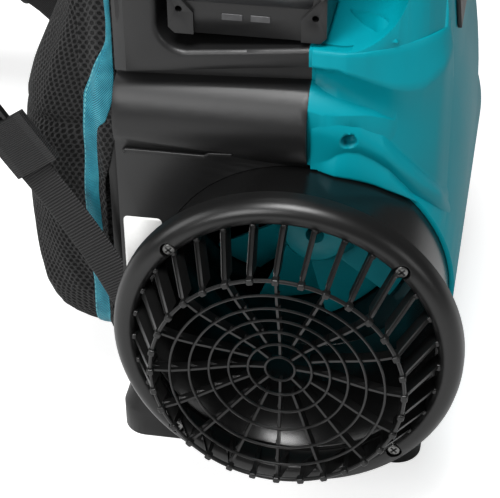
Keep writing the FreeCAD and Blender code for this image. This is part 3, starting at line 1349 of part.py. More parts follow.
def make_ladder_lock(label, side, drop, reach, lean):
    """Flat plastic adjuster with two slots and a thumb bar."""
    x, y, z = lock_place(side, drop, reach)
    body = new_body(label, x, y, z, (1, 0, 0), -lean)
    half, long, thick = size("lock_width") / 2, size("lock_length"), size("lock_thick")
    slot = size("webbing_width") / 2 + 1
    frame = round_loop(-half + 4, 0, half - 4, long, 5)
    first, second = box_loop(-slot, 5, slot, 10), box_loop(-slot, 15, slot, 22)
    shift = size("webbing_thick") / 2 + seat_gap + thick / 2
    pad(body, outline(body, "YZ", frame, first, second, lift=side * shift), thick, toward=0)
    bar = outline(body, "YZ", round_loop(-half, long - 9, half, long - 3, 2), lift=side * (shift + thick / 2))
    pad(body, bar, 3, toward=side)
    return body


def make_strap_anchor(label, side):
    """Slotted plate on the side panel's front edge, with its screw."""
    x, y, z = side * half_width, size("anchor_y"), size("anchor_z")
    body = new_body(label, x, y, z, (1, 0, 0), -size("anchor_lean"))
    half, thick = size("webbing_width") / 2 + 5, size("anchor_thick")
    slot = size("webbing_width") / 2 + 1
    shape = round_loop(-half, -26, half, 4, 6)
    pad(body, outline(body, "YZ", shape, box_loop(-slot, -6, slot, -2), lift=side * 0.02), thick - 0.02,
        toward=side)
    head = outline(body, "YZ", [(0, -16, size("grille_screw_head"))], lift=side * (thick - 0.5))
    pad(body, head, 2.5, toward=side)
    return body


def make_strap_anchors():
    return group("strap_anchors", [make_strap_anchor("anchor_left", -1),
                                   make_strap_anchor("anchor_right", 1)])


def screw_spots():
    """Where the deep screws stand in the rear shell's bulge: (side, y, z)."""
    return [(side, size("deep_screw_y"), size("deep_screw_z")) for side in (-1, 1)]


def make_housing_screws():
    """Screw heads at the bottoms of the deep holes."""
    floor_x = half_width - size("deep_hole_depth")
    heads = []
    for i, (side, y, z) in enumerate(screw_spots()):
        start = floor_x + 0.02 if side > 0 else -floor_x - size("grille_screw_head_z") - 0.02
        heads.append(rod(f"housing_screw_{i}", size("grille_screw_head"), size("grille_screw_head_z"), "X",
                         start, y, z))
    return group("housing_screws", heads)


def clamp_centre():
    return hose_x(), size("clamp_y"), size("outlet_z")


def make_handle_clamp():
    """Split ring on the swivel pipe with the grip's foot on top."""
    x, y, z = clamp_centre()
    body = new_body("handle_clamp", x, y, z)
    inner, half = size("pipe_radius") + run_gap, size("clamp_length") / 2
    outer, foot = inner + size("clamp_wall"), size("clamp_foot_z")
    base = outline(body, "XZ", [(0, 0, outer)], lift=-half)
    pad(body, base, half * 2)
    pad(body, outline(body, "XZ", box_loop(-13, outer - 4, 13, foot), lift=2 - half), half * 2 - 4)
    ears = outline(body, "XZ", box_loop(-7, -outer - 9, 7, 2 - outer), lift=4 - half)
    pad(body, ears, half * 2 - 8)
    pocket(body, outline(body, "XZ", [(0, 0, inner)], lift=-half), half * 2)
    pocket(body, outline(body, "XZ", box_loop(-1.5, -outer - 12, 1.5, 0), lift=-half), half * 2)
    return body


def grip_origin():
    x, y, z = clamp_centre()
    return x, y, z + size("clamp_foot_z") + seat_gap


def grip_outline(inset):
    """Side view of the pistol grip; y forward, z up from the clamp's foot."""
    lean, tall = size("grip_lean"), size("grip_height")
    deep = size("grip_width") / 2
    neck = tall - 34
    return [(inset - deep - 6, inset), (deep + 6 - inset, inset), (deep - inset, 20 + inset),
            (deep + lean * 0.6 - inset, neck - 8), (deep + lean + 9 - inset, neck + inset),
            (deep + lean + 9 - inset, tall - 8 - inset), (deep + lean + 1 - inset, tall - inset),
            (inset - deep + 8, tall - inset), (inset - deep, tall - 8 - inset), (inset - deep, neck - 12),
            (inset - deep, 20 + inset)]


def make_grip_shell(label, side):
    """Half of the pistol grip."""
    body = new_body(label, *grip_origin())
    half, skin = size("grip_half_x"), size("grip_wall")
    middle = side * 0.05
    pad(body, outline(body, "YZ", grip_outline(Size.of(0)), lift=middle), half, toward=side)

    def outer_edge(edge):
        box = edge.BoundBox
        return box.XLength < 0.01 and abs(abs(box.XMin) - half.value - 0.05) < 0.1

    soften(body, "Fillet", 5, outer_edge)
    pocket(body, outline(body, "YZ", grip_outline(skin), lift=middle), half - skin, toward=side)
    front = size("grip_width") / 2
    opening = box_loop(front - skin - 3, size("trigger_low_z") - 3, front + size("grip_lean") + 6,
                       size("trigger_pivot_z") + 3)
    pocket(body, outline(body, "YZ", opening, lift=middle), size("trigger_width") / 2 + 0.8, toward=side)
    tall = size("grip_height")
    holes = [[(0, y, r + run_gap)] for y, r in ((size("boost_y"), size("button_radius")),
                                                (size("power_y"), size("button_radius") - 1))]
    pocket(body, outline(body, "XY", *holes, lift=tall + 1), skin + 3, toward=-1)
    pin = outline(body, "YZ", [(size("trigger_pivot_y"), size("trigger_pivot_z"), size("pin_radius") + 0.02)],
                  lift=middle)
    pocket(body, pin, half + 1, toward=side)
    return body


def make_trigger():
    """Curved trigger that swings about its pin."""
    x, y, z = grip_origin()
    body = new_body("trigger", x, y + size("trigger_pivot_y"), z + size("trigger_pivot_z"))
    low = size("trigger_low_z") - size("trigger_pivot_z")
    face = size("grip_width") / 2 + size("grip_lean") - size("trigger_pivot_y")
    shape = [(-6, 6), (-6, -8), (-1, low + 12), (face - 6, low), (face, low + 4), (face - 1, -2, -34), (8, 6)]
    pad(body, outline(body, "YZ", shape, [(0, 0, size("pin_radius") + run_gap)]), size("trigger_width"),
        toward=0)
    return body


def make_trigger_pin():
    x, y, z = grip_origin()
    half = size("grip_half_x") - 0.5
    return rod("trigger_pin", size("pin_radius"), half * 2, "X", x - half, y + size("trigger_pivot_y"),
               z + size("trigger_pivot_z"))


def make_cruise_lever():
    """Speed-hold lever on the left of the grip: a hub and a short arm."""
    x, y, z = grip_origin()
    side = x - size("grip_half_x") - 0.05 - run_gap
    body = new_body("cruise_lever", side, y + size("lever_y"), z + size("lever_z"))
    thick = size("lever_thick")
    pad(body, outline(body, "YZ", [(0, 0, 11)]), thick, toward=-1)
    pad(body, outline(body, "YZ", [(-7, 4), (7, 4), (5, 30), (2, 33), (-2, 33), (-5, 30)]), thick - 2,
        toward=-1)
    return body


def make_button(label, y_size, radius):
    """Captive push button in the grip's top."""
    x, y, z = grip_origin()
    skin, travel = size("grip_wall"), size("button_travel")
    top = z + size("grip_height")
    flange = rod(f"{label}_flange", radius + 2, 2, "Z", x, y + y_size, top - skin - 2 - run_gap)
    stem = rod(f"{label}_stem", radius, skin + 2 + run_gap + travel + 1, "Z", x, y + y_size,
               top - skin - 2 - run_gap)
    return joined(label, flange, stem)


def make_grip_screws():
    """Three screw heads on the grip's right side."""
    x, y, z = grip_origin()
    start = x + size("grip_half_x") + 0.1
    spots = ((0, 12), (2, 62), (18, 112))
    return group("grip_screws", [rod(f"grip_screw_{i}", 3.5, 2, "X", start, y + py, z + pz)
                                 for i, (py, pz) in enumerate(spots)])

LEFT = (-1, Size.of(0), Size.of(0), size("left_lock_lean"))
RIGHT = (1, size("right_strap_drop"), size("right_strap_reach"), size("right_lock_lean"))
SUB_PARTS = [make_base_plate(), make_rubber_feet(), make_front_frame(), make_rear_shell(), make_rear_cover(),
             make_intake_duct(), make_intake_grille(), make_grille_screws(), make_fan_casing(),
             make_outlet_reducer(), make_impeller(), make_impeller_screw(), make_motor_shaft(),
             make_guide_vanes(),
             make_bearings(), make_stator(), make_rotor(),
             make_end_cap(), make_tail_cone(), make_elbow(), *make_hose(), make_hose_band(),
             make_swivel_pipe(),
             make_lock_ring(), make_blower_pipe(), make_nozzle(), make_battery_carrier(),
             make_battery("battery_left", -1),
             make_battery("battery_right", 1), make_battery_latch("battery_latch_left", -1),
             make_battery_latch("battery_latch_right", 1), make_terminals(), make_controller(),
             make_carry_handle(), make_carry_grip(), make_back_plate(), make_vibration_mounts(),
             make_mount_bolts(),
             make_back_pad(), make_pad_binding(),
             make_shoulder_strap("shoulder_strap_left", *LEFT),
             make_shoulder_strap("shoulder_strap_right", *RIGHT),
             make_webbing("webbing_left", *LEFT), make_webbing("webbing_right", *RIGHT),
             make_ladder_lock("ladder_lock_left", *LEFT), make_ladder_lock("ladder_lock_right", *RIGHT),
             make_strap_anchors(),
             make_housing_screws(), make_handle_clamp(), make_grip_shell("grip_shell_left", -1),
             make_grip_shell("grip_shell_right", 1), make_trigger(), make_trigger_pin(), make_cruise_lever(),
             make_button("boost_button", size("boost_y"), size("button_radius")),
             make_button("power_button", size("power_y"), size("button_radius") - 1), make_grip_screws()]


def write_parts():
    doc.recompute()
    for item in doc.Objects:
        if "Invalid" in item.State or "Error" in item.State:
            raise RuntimeError(f"{item.Label} could not be built")
    os.makedirs("parts", exist_ok=True)
    for item in SUB_PARTS:
        shape = item.Shape
        if shape.isNull() or not shape.isValid():
            raise RuntimeError(f"{item.Label} has no valid shape")
        shape.exportStep(f"parts/{item.Label}.step")
        print(f"{item.Label}: {len(shape.Solids)} solids, {shape.Volume / 1000:.1f} cm3")


write_parts()
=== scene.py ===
import json
import math

import bmesh
import bpy
from mathutils import Matrix, Quaternion, Vector
from mathutils.bvhtree import BVHTree


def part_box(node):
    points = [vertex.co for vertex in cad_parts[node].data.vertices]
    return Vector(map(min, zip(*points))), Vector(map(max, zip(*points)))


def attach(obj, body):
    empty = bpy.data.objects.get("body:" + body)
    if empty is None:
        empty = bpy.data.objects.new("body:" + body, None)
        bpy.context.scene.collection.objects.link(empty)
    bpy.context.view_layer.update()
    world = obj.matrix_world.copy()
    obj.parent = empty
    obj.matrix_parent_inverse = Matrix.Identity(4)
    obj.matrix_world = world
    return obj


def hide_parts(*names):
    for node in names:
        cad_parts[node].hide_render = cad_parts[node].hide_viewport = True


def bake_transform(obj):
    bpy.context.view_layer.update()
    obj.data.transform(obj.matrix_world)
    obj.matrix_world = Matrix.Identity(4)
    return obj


# Cordless backpack leaf blower: looks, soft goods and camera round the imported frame.
# Metres, X to the wearer's right, Y forward, Z up.

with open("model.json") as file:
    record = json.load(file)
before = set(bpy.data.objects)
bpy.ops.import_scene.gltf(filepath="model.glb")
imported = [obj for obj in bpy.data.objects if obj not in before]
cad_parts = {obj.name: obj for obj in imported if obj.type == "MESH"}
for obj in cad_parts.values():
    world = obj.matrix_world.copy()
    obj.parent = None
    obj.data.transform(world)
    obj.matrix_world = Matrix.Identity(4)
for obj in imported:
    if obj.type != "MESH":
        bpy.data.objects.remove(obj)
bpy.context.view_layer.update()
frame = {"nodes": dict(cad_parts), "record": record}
nodes = frame["nodes"]
scene = bpy.context.scene

view = {
    "eye": (-1.0837, -0.1617, 0.8724), "aim": (-0.195, 0.0078, 0.2151), "roll": -0.92, "lens": 129.6,
    "sensor": 36, "near": 0.05, "far": 20}


def makeCamera():
    data = bpy.data.cameras.new("camera")
    data.lens, data.sensor_width = view["lens"], view["sensor"]
    data.clip_start, data.clip_end = view["near"], view["far"]
    camera = bpy.data.objects.new("camera", data)
    eye, aim = Vector(view["eye"]), Vector(view["aim"])
    camera.rotation_mode = "QUATERNION"
    camera.location = eye
    camera.rotation_quaternion = ((aim - eye).to_track_quat("-Z", "Y")
                                  @ Quaternion((0, 0, 1), math.radians(view["roll"])))
    scene.collection.objects.link(camera)
    scene.camera = camera


makeCamera()
print("camera placed")


# Shader maths as Python expressions.

def operation(kind, flip=False):
    def act(wire, *others):
        values = (*others, wire) if flip else (wire, *others)
        return wire.finish.node("ShaderNodeMath", {"operation": kind}, values)
    return act


class Wire:
    __add__ = __radd__ = operation("ADD")
    __sub__, __rsub__ = operation("SUBTRACT"), operation("SUBTRACT", flip=True)
    __mul__ = __rmul__ = operation("MULTIPLY")
    __truediv__, __gt__, __lt__ = operation("DIVIDE"), operation("GREATER_THAN"), operation("LESS_THAN")
    sin, abs, fract, root = operation("SINE"), operation("ABSOLUTE"), operation("FRACT"), operation("SQRT")
    max, min = operation("MAXIMUM"), operation("MINIMUM")

    def __init__(self, finish, socket):
        self.finish, self.socket = finish, socket

    def waves(self, length):
        # ribs of a given length, from 0 to 1
        return (self * (2 * math.pi / length)).sin() * 0.5 + 0.5

    def smooth(self, low, high):
        ends = {"Value": self, "From Min": low, "From Max": high}
        return self.finish.node("ShaderNodeMapRange", {"interpolation_type": "SMOOTHSTEP"}, ends)


class Finish:
    def __init__(self, name, **fixed):
        self.material = bpy.data.materials.new(name)
        self.material.use_nodes = True
        self.tree = self.material.node_tree
        self.shader = self.tree.nodes["Principled BSDF"]
        for socket, value in fixed.items():
            self.shader.inputs[socket.replace("_", " ")].default_value = value

    def node(self, kind, settings=None, values=(), out=0):
        made = self.tree.nodes.new(kind)
        for key, value in (settings or {}).items():
            setattr(made, key, value)
        pairs = values.items() if isinstance(values, dict) else enumerate(values)
        for key, value in pairs:
            socket = made.inputs[key]
            if isinstance(value, Wire):
                self.tree.links.new(value.socket, socket)
            else:
                socket.default_value = value
        return Wire(self, made.outputs[out])

    def place(self):
        return self.node("ShaderNodeTexCoord", out="Object")

    def across(self):
        # metres across and along the cloth
        weave = self.node("ShaderNodeUVMap", {"uv_map": "weave"})
        made = self.tree.nodes.new("ShaderNodeSeparateXYZ")
        self.tree.links.new(weave.socket, made.inputs[0])
        return Wire(self, made.outputs[0]), Wire(self, made.outputs[1])

    def noise(self, scale, detail=2, rough=0.5):
        values = {"Vector": self.place(), "Scale": scale, "Detail": detail, "Roughness": rough}
        return self.node("ShaderNodeTexNoise", {}, values)

    def colours(self, factor, stops):
        colour = self.node("ShaderNodeValToRGB", {}, (factor,))
        marks = colour.socket.node.color_ramp.elements
        while len(marks) < len(stops):
            marks.new(0.5)
        for mark, (place, tone) in zip(marks, stops):
            mark.position, mark.color = place, (*tone, 1)
        return colour

    def bump(self, height, strength, distance):
        values = {"Height": height, "Strength": strength, "Distance": distance}
        return self.node("ShaderNodeBump", {}, values)

    def feed(self, **wires):
        for socket, wire in wires.items():
            self.tree.links.new(wire.socket, self.shader.inputs[socket.replace("_", " ")])
        return self.material


# Kinds of finish: pitches, widths and bump depths in metres, noise scales per metre; factors mix the layers.

def toned(finish, factor, dark, light):
    return finish.colours(factor, [(0.3, dark), (0.7, light)])


def mouldedPlastic(name, dark, light, rough, grain=2600, depth=0.00004, sweep=9, coat=0.0, shine=0.5):
    finish = Finish(name, Coat_Weight=coat, Coat_Roughness=0.2, IOR=1.47, Specular_IOR_Level=shine)
    broad = finish.noise(sweep, 3)
    fine = finish.noise(grain, 2, 0.6)
    scuffs = finish.noise(38, 4, 0.6)
    colour = toned(finish, broad * 0.75 + scuffs * 0.25, dark, light)
    roughness = fine * 0.05 + scuffs * 0.06 + (rough - 0.055)
    return finish.feed(Base_Color=colour, Roughness=roughness, Normal=finish.bump(fine, 0.5, depth))


def plainMetal(name, dark, light, rough, scale=60, depth=0.00004):
    finish = Finish(name, Metallic=1.0)
    stretch = {"Vector": finish.place(), "Scale": (scale * 12, scale, scale)}
    drawn = finish.node("ShaderNodeMapping", {}, stretch)
    streaks = finish.node("ShaderNodeTexNoise", {}, {"Vector": drawn, "Scale": 1.0, "Detail": 3})
    colour = toned(finish, streaks, dark, light)
    return finish.feed(Base_Color=colour, Roughness=streaks * 0.2 + (rough - 0.1),
                       Normal=finish.bump(streaks, 0.15, depth))


net = {
    "sway": 0.0016, "swayScale": 60, "tall": 1.5, "inner": 0.62, "outer": 1.15, "depth": 0.0017,
    # the first tone paints the holes near-black as painted shade; the others are the yarn
    "tones": ((0.1, (0.0002, 0.0002, 0.0002)), (0.7, (0.007, 0.007, 0.0072)), (1, (0.028, 0.028, 0.0285)))}


def spacerMesh(name, pitch, hole):
    # a knitted net with round holes in staggered rows; the holes are painted near-black as the shade inside them
    finish = Finish(name, Sheen_Weight=0.06, Sheen_Roughness=0.5, Specular_IOR_Level=0.3)
    across, along = finish.across()
    sway = finish.noise(net["swayScale"]) * net["sway"]
    u, v = (across + sway) / pitch, (along + sway) / (pitch * net["tall"])

    def fromCentre(shift):
        du, dv = (u + shift).fract() - 0.5, ((v + shift).fract() - 0.5) * net["tall"]
        return (du * du + dv * dv).root()

    near = fromCentre(0).min(fromCentre(0.5))
    yarn = near.smooth(hole * net["inner"], hole * net["outer"])
    thread = (((u - v) * 40).sin() * 0.5 + 0.5) * yarn
    colour = finish.colours(yarn * 0.75 + thread * 0.25, net["tones"])
    return finish.feed(Base_Color=colour, Roughness=0.95 - yarn * 0.25,
                       Normal=finish.bump(yarn + thread * 0.15, 1.0, net["depth"]))


twill = {
    "pitch": 0.0022, "slant": 1.3, "seamAt": 0.0016, "seamHalf": 0.0006, "stitch": 0.0042, "stitched": 0.62,
    "foldsAndShade": 70, "depth": 0.0005, "thread": (0.12, 0.42, 0.46)}


def twillRibbon(name, dark, light, edge):
    # fine diagonal ribs that meet in the middle, and a row of stitches near one edge; the fold noise also darkens
    # and lightens the colour as painted shade and painted highlight
    finish = Finish(name, Sheen_Weight=0.05, Sheen_Roughness=0.4)
    across, along = finish.across()
    ribs = ((across - edge * 0.5).abs() * twill["slant"] + along).waves(twill["pitch"])
    seam = (((across - twill["seamAt"]).abs() < twill["seamHalf"])
            * ((along / twill["stitch"]).fract() < twill["stitched"]))
    foldsAndShade = finish.noise(twill["foldsAndShade"], 3)
    # the woven ribs are the ribbon's pattern; the folds add painted shade and painted highlights to its colour
    tone = ribs * 0.6 + foldsAndShade * 0.9 - 0.3
    colour = finish.colours(tone.max(seam), [(0.2, dark), (0.62, light), (1.0, twill["thread"])])
    height = ribs * 0.35 + seam * 1.2 + foldsAndShade
    return finish.feed(Base_Color=colour, Roughness=0.62 - ribs * 0.15,
                       Normal=finish.bump(height, 0.8, twill["depth"]))


web = {
    "rib": 0.0014, "thread": 0.0011, "wander": 0.0003, "wanderScale": 300, "edge": 0.455, "depth": 0.0006,
    "tones": ((0.15, (0.003, 0.003, 0.003)), (0.8, (0.02, 0.02, 0.0205)))}


def ribbedWebbing(name, width):
    finish = Finish(name, Sheen_Weight=0.04, Sheen_Roughness=0.4, Specular_IOR_Level=0.35)
    across, along = finish.across()
    ribs = along.waves(web["rib"])
    threads = (across + finish.noise(web["wanderScale"], 1) * web["wander"]).waves(web["thread"])
    selvedge = (across.abs() > width * web["edge"]) * 0.5
    colour = finish.colours(ribs * 0.6 + threads * 0.25 + selvedge, web["tones"])
    return finish.feed(Base_Color=colour, Roughness=0.75 - ribs * 0.2,
                       Normal=finish.bump(ribs + threads * 0.3 + selvedge, 0.85, web["depth"]))


cloth = {
    "weave": 0.0014, "channelAt": 0.0235, "channel": (0.0004, 0.0016), "stitch": 0.004, "stitched": 0.6,
    "wrinkles": 55, "depth": 0.001, "tones": ((0.1, (0.007, 0.007, 0.0075)), (0.9, (0.024, 0.024, 0.025)))}


def paddedCloth(name):
    # tight plain weave, with a stitched channel inside each edge
    finish = Finish(name, Sheen_Weight=0.2, Sheen_Roughness=0.5)
    across, along = finish.across()
    rate = 2 * math.pi / cloth["weave"]
    weave = (across * rate).sin() * (along * rate).sin()
    channel = 1 - (across.abs() - cloth["channelAt"]).abs().smooth(*cloth["channel"])
    stitches = channel * ((along / cloth["stitch"]).fract() < cloth["stitched"])
    wrinkles = finish.noise(cloth["wrinkles"], 4, 0.6)
    colour = finish.colours(weave * 0.25 + wrinkles * 0.5 + stitches * 0.5, cloth["tones"])
    rough = 0.9 - stitches * 0.2
    height = weave * 0.2 + wrinkles * 0.8 - channel * 1.4 + stitches * 0.8
    return finish.feed(Base_Color=colour, Roughness=rough, Normal=finish.bump(height, 0.8, cloth["depth"]))


def barePlate(name, dark, light, rough, depth=0.00003):
    finish = Finish(name)
    fibres = finish.noise(420, 4, 0.65)
    broad = finish.noise(24)
    return finish.feed(Base_Color=toned(finish, fibres * 0.4 + broad * 0.6, dark, light),
                       Roughness=fibres * 0.12 + rough, Normal=finish.bump(fibres, 0.2, depth))


def grey(value):
    return (value, value, value)


looks = {
    "housing_grey": mouldedPlastic("housingGrey", (0.0075, 0.0075, 0.0077), (0.011, 0.011, 0.0113), 0.4),
    "shell_teal": mouldedPlastic("shellTeal", (0.0, 0.235, 0.29), (0.0, 0.265, 0.325), 0.42, 1900, 0.00003, 7,
                                 shine=0.14),
    "fan_teal": mouldedPlastic("fanTeal", (0.0, 0.24, 0.29), (0.0, 0.29, 0.34), 0.4),
    "duct_black": mouldedPlastic("ductBlack", grey(0.003), grey(0.0055), 0.25, 1500, 0.00001, coat=0.3),
    "grille_black": mouldedPlastic("grilleBlack", grey(0.004), grey(0.0065), 0.33, 1900, 0.00002),
    "trim_black": mouldedPlastic("trimBlack", grey(0.005), grey(0.008), 0.42),
    "battery_black": mouldedPlastic("batteryBlack", (0.005, 0.005, 0.0053), (0.0085, 0.0085, 0.0088), 0.38,
                                    1700, 0.00006),
    "rubber": mouldedPlastic("rubber", grey(0.006), grey(0.01), 0.62, 900, 0.00005),
    "screw_steel": plainMetal("screwSteel", (0.1, 0.1, 0.098), (0.24, 0.24, 0.235), 0.34),
    "steel": plainMetal("steel", grey(0.45), grey(0.6), 0.3),
    "lamination": plainMetal("lamination", (0.2, 0.2, 0.21), (0.32, 0.32, 0.33), 0.45),
    "contact_metal": plainMetal("contactMetal", (0.6, 0.45, 0.2), (0.75, 0.6, 0.3), 0.3),
    "controller_metal": plainMetal("controllerMetal", (0.4, 0.4, 0.41), (0.52, 0.52, 0.53), 0.5),
    "button_teal": mouldedPlastic("buttonTeal", (0.0, 0.24, 0.3), (0.0, 0.28, 0.34), 0.4),
    "pad_mesh": spacerMesh("padMesh", 0.0046, 0.36),
    "binding_teal": twillRibbon("bindingTeal", (0.0, 0.045, 0.075), (0.0, 0.29, 0.4), 0.016),
    "strap_fabric": paddedCloth("strapCloth"),
    "webbing_fabric": ribbedWebbing("webbingCloth", 0.025),
}
extras = {
    # recess: near-black painted shade for the screws' cross recesses, also given to the seat cutter
    "recess": mouldedPlastic("paintedRecessShade", grey(0.002), grey(0.004), 0.6),
    "plate": barePlate("labelWhite", (0.72, 0.72, 0.71), (0.8, 0.8, 0.79), 0.38),
    "panel": barePlate("batteryPlate", (0.028, 0.029, 0.031), (0.04, 0.041, 0.043), 0.3),
    "window": plainMetal("markGrey", (0.07, 0.07, 0.072), (0.13, 0.13, 0.133), 0.42),
}
print("finishes made")

sideName = {-1: "Left", 1: "Right"}
crease = {"weld": 0.00002, "width": 0.0006, "angle": 35}


# Helpers for the new pieces.

def place(name, mesh, slot=None, replaced=(), body="housing", look=None, extra=None):
    # turn a bmesh into a finished object that rides on a body
    bmesh.ops.recalc_face_normals(mesh, faces=mesh.faces[:])
    data = bpy.data.meshes.new(name)
    mesh.to_mesh(data)
    mesh.free()
    piece = bpy.data.objects.new(name, data)
    scene.collection.objects.link(piece)
    data.materials.append(look or looks[slot])
    if extra:
        data.materials.append(extra)
    for face in data.polygons:
        face.use_smooth = True
    if body:
        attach(piece, body)
    if replaced:
        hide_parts(*replaced)
    return piece


def roundOff(piece, width, segments=3, angle=32):
    bevel = piece.modifiers.new("bevel", "BEVEL")
    bevel.width, bevel.segments, bevel.limit_method = width, segments, "ANGLE"
    bevel.angle_limit = math.radians(angle)
    bevel.harden_normals = True


def softer(piece):
    smooth = piece.modifiers.new("smooth", "SUBSURF")
    smooth.levels = smooth.render_levels = 1
    return piece


def thicken(piece, thickness, offset=0):
    solid = piece.modifiers.new("thickness", "SOLIDIFY")
    solid.thickness, solid.offset = thickness, offset
    return piece


def finished(piece):
    # the mesh of a piece with its modifiers applied
    return bpy.data.meshes.new_from_object(piece.evaluated_get(bpy.context.evaluated_depsgraph_get()))


def pour(part, mesh):
    # move all that one bmesh holds into another
    data = bpy.data.meshes.new("part")
    part.to_mesh(data)
    part.free()
    mesh.from_mesh(data)
    bpy.data.meshes.remove(data)


def bar(across, thick, along):
    # a 2 x 2 x 2 block cut into strips: X across, Y through its thickness, Z along
    mesh = bmesh.new()
    bmesh.ops.create_cube(mesh, size=2)
    for axis, cuts in enumerate((across, thick, along)):
        ways = [edge for edge in mesh.edges
                if abs((edge.verts[0].co - edge.verts[1].co).normalized()[axis]) > 0.9]
        if cuts:
            bmesh.ops.subdivide_edges(mesh, edges=ways, cuts=cuts, use_grid_fill=True)
    return mesh


def addBlock(mesh, centre, size, turn=None, material=0):
    # a small block inside a mesh that holds several
    lie = turn.to_matrix().to_4x4() if turn else Matrix()
    matrix = Matrix.Translation(centre) @ lie @ Matrix.Diagonal((*size, 1))
    made = bmesh.ops.create_cube(mesh, size=1, matrix=matrix)
    for face in {face for vertex in made["verts"] for face in vertex.link_faces}:
        face.material_index = material


def held(value):
    return min(max(value, 0.0), 1.0)


def eased(share):
    share = held(share)
    return share * share * (3 - 2 * share)


def bell(distance, width):
    return math.exp(-(distance / width) ** 2)


def curveAt(points, share):
    # a smooth curve through the points, at a share of its length in steps
    last = len(points) - 1
    spot = held(share) * last
    i = min(int(spot), last - 1)
    t = spot - i
    p1, p2 = Vector(points[i]), Vector(points[i + 1])
    p0 = Vector(points[i - 1]) if i else p1 * 2 - p2
    p3 = Vector(points[i + 2]) if i + 2 <= last else p2 * 2 - p1
    return 0.5 * (p1 * 2 + (p2 - p0) * t + (p0 * 2 - p1 * 5 + p2 * 4 - p3) * t * t
                  + (p1 * 3 - p0 - p2 * 3 + p3) * t * t * t)


def valueAt(values, share):
    spot = held(share) * (len(values) - 1)
    i = min(int(spot), len(values) - 2)
    return values[i] + (values[i + 1] - values[i]) * (spot - i)


def stationAt(stations, place):
    # straight runs between pairs of place and value
    for (start, a), (end, b) in zip(stations, stations[1:]):
        if place <= end:
            return a + (b - a) * ((place - start) / (end - start))
    return stations[-1][1]


def routeLength(points, steps=80):
    spots = [curveAt(points, k / steps) for k in range(steps + 1)]
    return sum((b - a).length for a, b in zip(spots, spots[1:]))


def runAlong(mesh, points, widths, thicks, twists, shape, step=0.004):
    # lays a bar along a route; shape gives a vertex's place across and through the strap
    length = routeLength(points)
    weave = mesh.loops.layers.uv.new("weave")
    half = max(widths) / 2
    for face in mesh.faces:
        for loop in face.loops:
            loop[weave].uv = (loop.vert.co.x * half, (loop.vert.co.z + 1) / 2 * length)
    for vertex in mesh.verts:
        b, c, a = vertex.co
        share = (a + 1) / 2
        centre = curveAt(points, share)
        ahead = (curveAt(points, share + step) - curveAt(points, share - step)).normalized()
        side = (Vector((1, 0, 0)) - ahead * ahead.x).normalized()
        turn = math.radians(valueAt(twists, share))
        flat = side * math.cos(turn) + ahead.cross(side) * math.sin(turn)
        wide, deep = shape(b, c, a, valueAt(widths, share), valueAt(thicks, share))
        vertex.co = centre + flat * wide + ahead.cross(flat) * deep
    return mesh


def turned(steps, centre, direction, segments=64):
    # rings pulled along an axis: each step is (distance, radius); the last joins the first
    mesh = bmesh.new()
    bmesh.ops.create_circle(mesh, segments=segments, radius=steps[0][1],
                            matrix=Matrix.Translation((0, 0, steps[0][0])))
    start = ring = mesh.edges[:]
    for (here, radius), (there, wanted) in zip(steps, steps[1:]):
        made = bmesh.ops.extrude_edge_only(mesh, edges=ring)["geom"]
        points = [item for item in made if isinstance(item, bmesh.types.BMVert)]
        ring = [item for item in made if isinstance(item, bmesh.types.BMEdge)
                and all(vertex in points for vertex in item.verts)]
        bmesh.ops.scale(mesh, vec=(wanted / radius, wanted / radius, 1), verts=points)
        bmesh.ops.translate(mesh, vec=(0, 0, there - here), verts=points)
    bmesh.ops.bridge_loops(mesh, edges=start + ring)
    turn = Vector((0, 0, 1)).rotation_difference(Vector(direction)).to_matrix().to_4x4()
    bmesh.ops.transform(mesh, matrix=Matrix.Translation(centre) @ turn, verts=mesh.verts[:])
    return mesh


def dressNodes():
    slots = {row["node"]: row["material_slot"] for row in frame["record"]["subparts"]}
    for name, node in nodes.items():
        node.data.materials.clear()
        node.data.materials.append(looks[slots[name]])
        weld = node.modifiers.new("weld", "WELD")
        weld.merge_threshold = crease["weld"]
        roundOff(node, crease["width"], 2, crease["angle"])
        for face in node.data.polygons:
            face.use_smooth = True


dressNodes()
print("frame dressed")

# The back pad: spacer mesh over foam, deepest at the small of the back, folded at its waist,
# with two shallow sewn channels down the front.

pad = {
    "half": 0.1045, "low": 0.062, "tall": 0.3815, "back": 0.12, "depth": 0.0635, "cuts": (17, 7, 35),
    "drawIn": 0.035, "drop": 0.09, "dropPower": 9, "crown": 0.003, "rim": 0.012,
    "fold": 0.2325, "foldDepth": 0.0035, "foldHalf": 0.004, "foldEdge": 0.09, "foldFront": 0.4,
    "seamX": 0.042, "seamHalf": 0.004, "seamDepth": 0.003, "seamFrom": 0.016,
    "voxel": 0.005, "pressure": 4.0, "quality": 5, "cap": 0.006, "frames": 20, "pinned": 0.006,
    "depths": ((0, 0.45), (0.012, 0.64), (0.045, 0.85), (0.09, 0.95), (0.2, 0.985), (0.28, 1), (0.37, 0.995),
        (0.449, 0.955), (0.527, 0.81), (0.655, 0.475), (0.84, 0.4), (0.97, 0.36), (1, 0.28)),
    "widths": ((0, 0.9), (0.03, 0.96), (0.1, 1.0), (0.66, 0.99), (0.84, 0.96), (0.97, 0.91), (1, 0.87))}


def padForm():
    mesh = bar(*pad["cuts"])
    for vertex in mesh.verts:
        u, v, w = vertex.co
        t, out = (w + 1) / 2, (v + 1) / 2
        half = pad["half"] * stationAt(pad["widths"], t)
        deep = pad["depth"] * stationAt(pad["depths"], t)
        rounding = 1 - pad["drawIn"] * out ** 3
        drop = 1 - pad["drop"] * abs(u) ** pad["dropPower"]
        crown = pad["crown"] * (1 - u * u) * out
        y = pad["back"] + deep * out * drop + crown
        vertex.co = (half * u * rounding, y, pad["low"] + pad["tall"] * t)
    return mesh


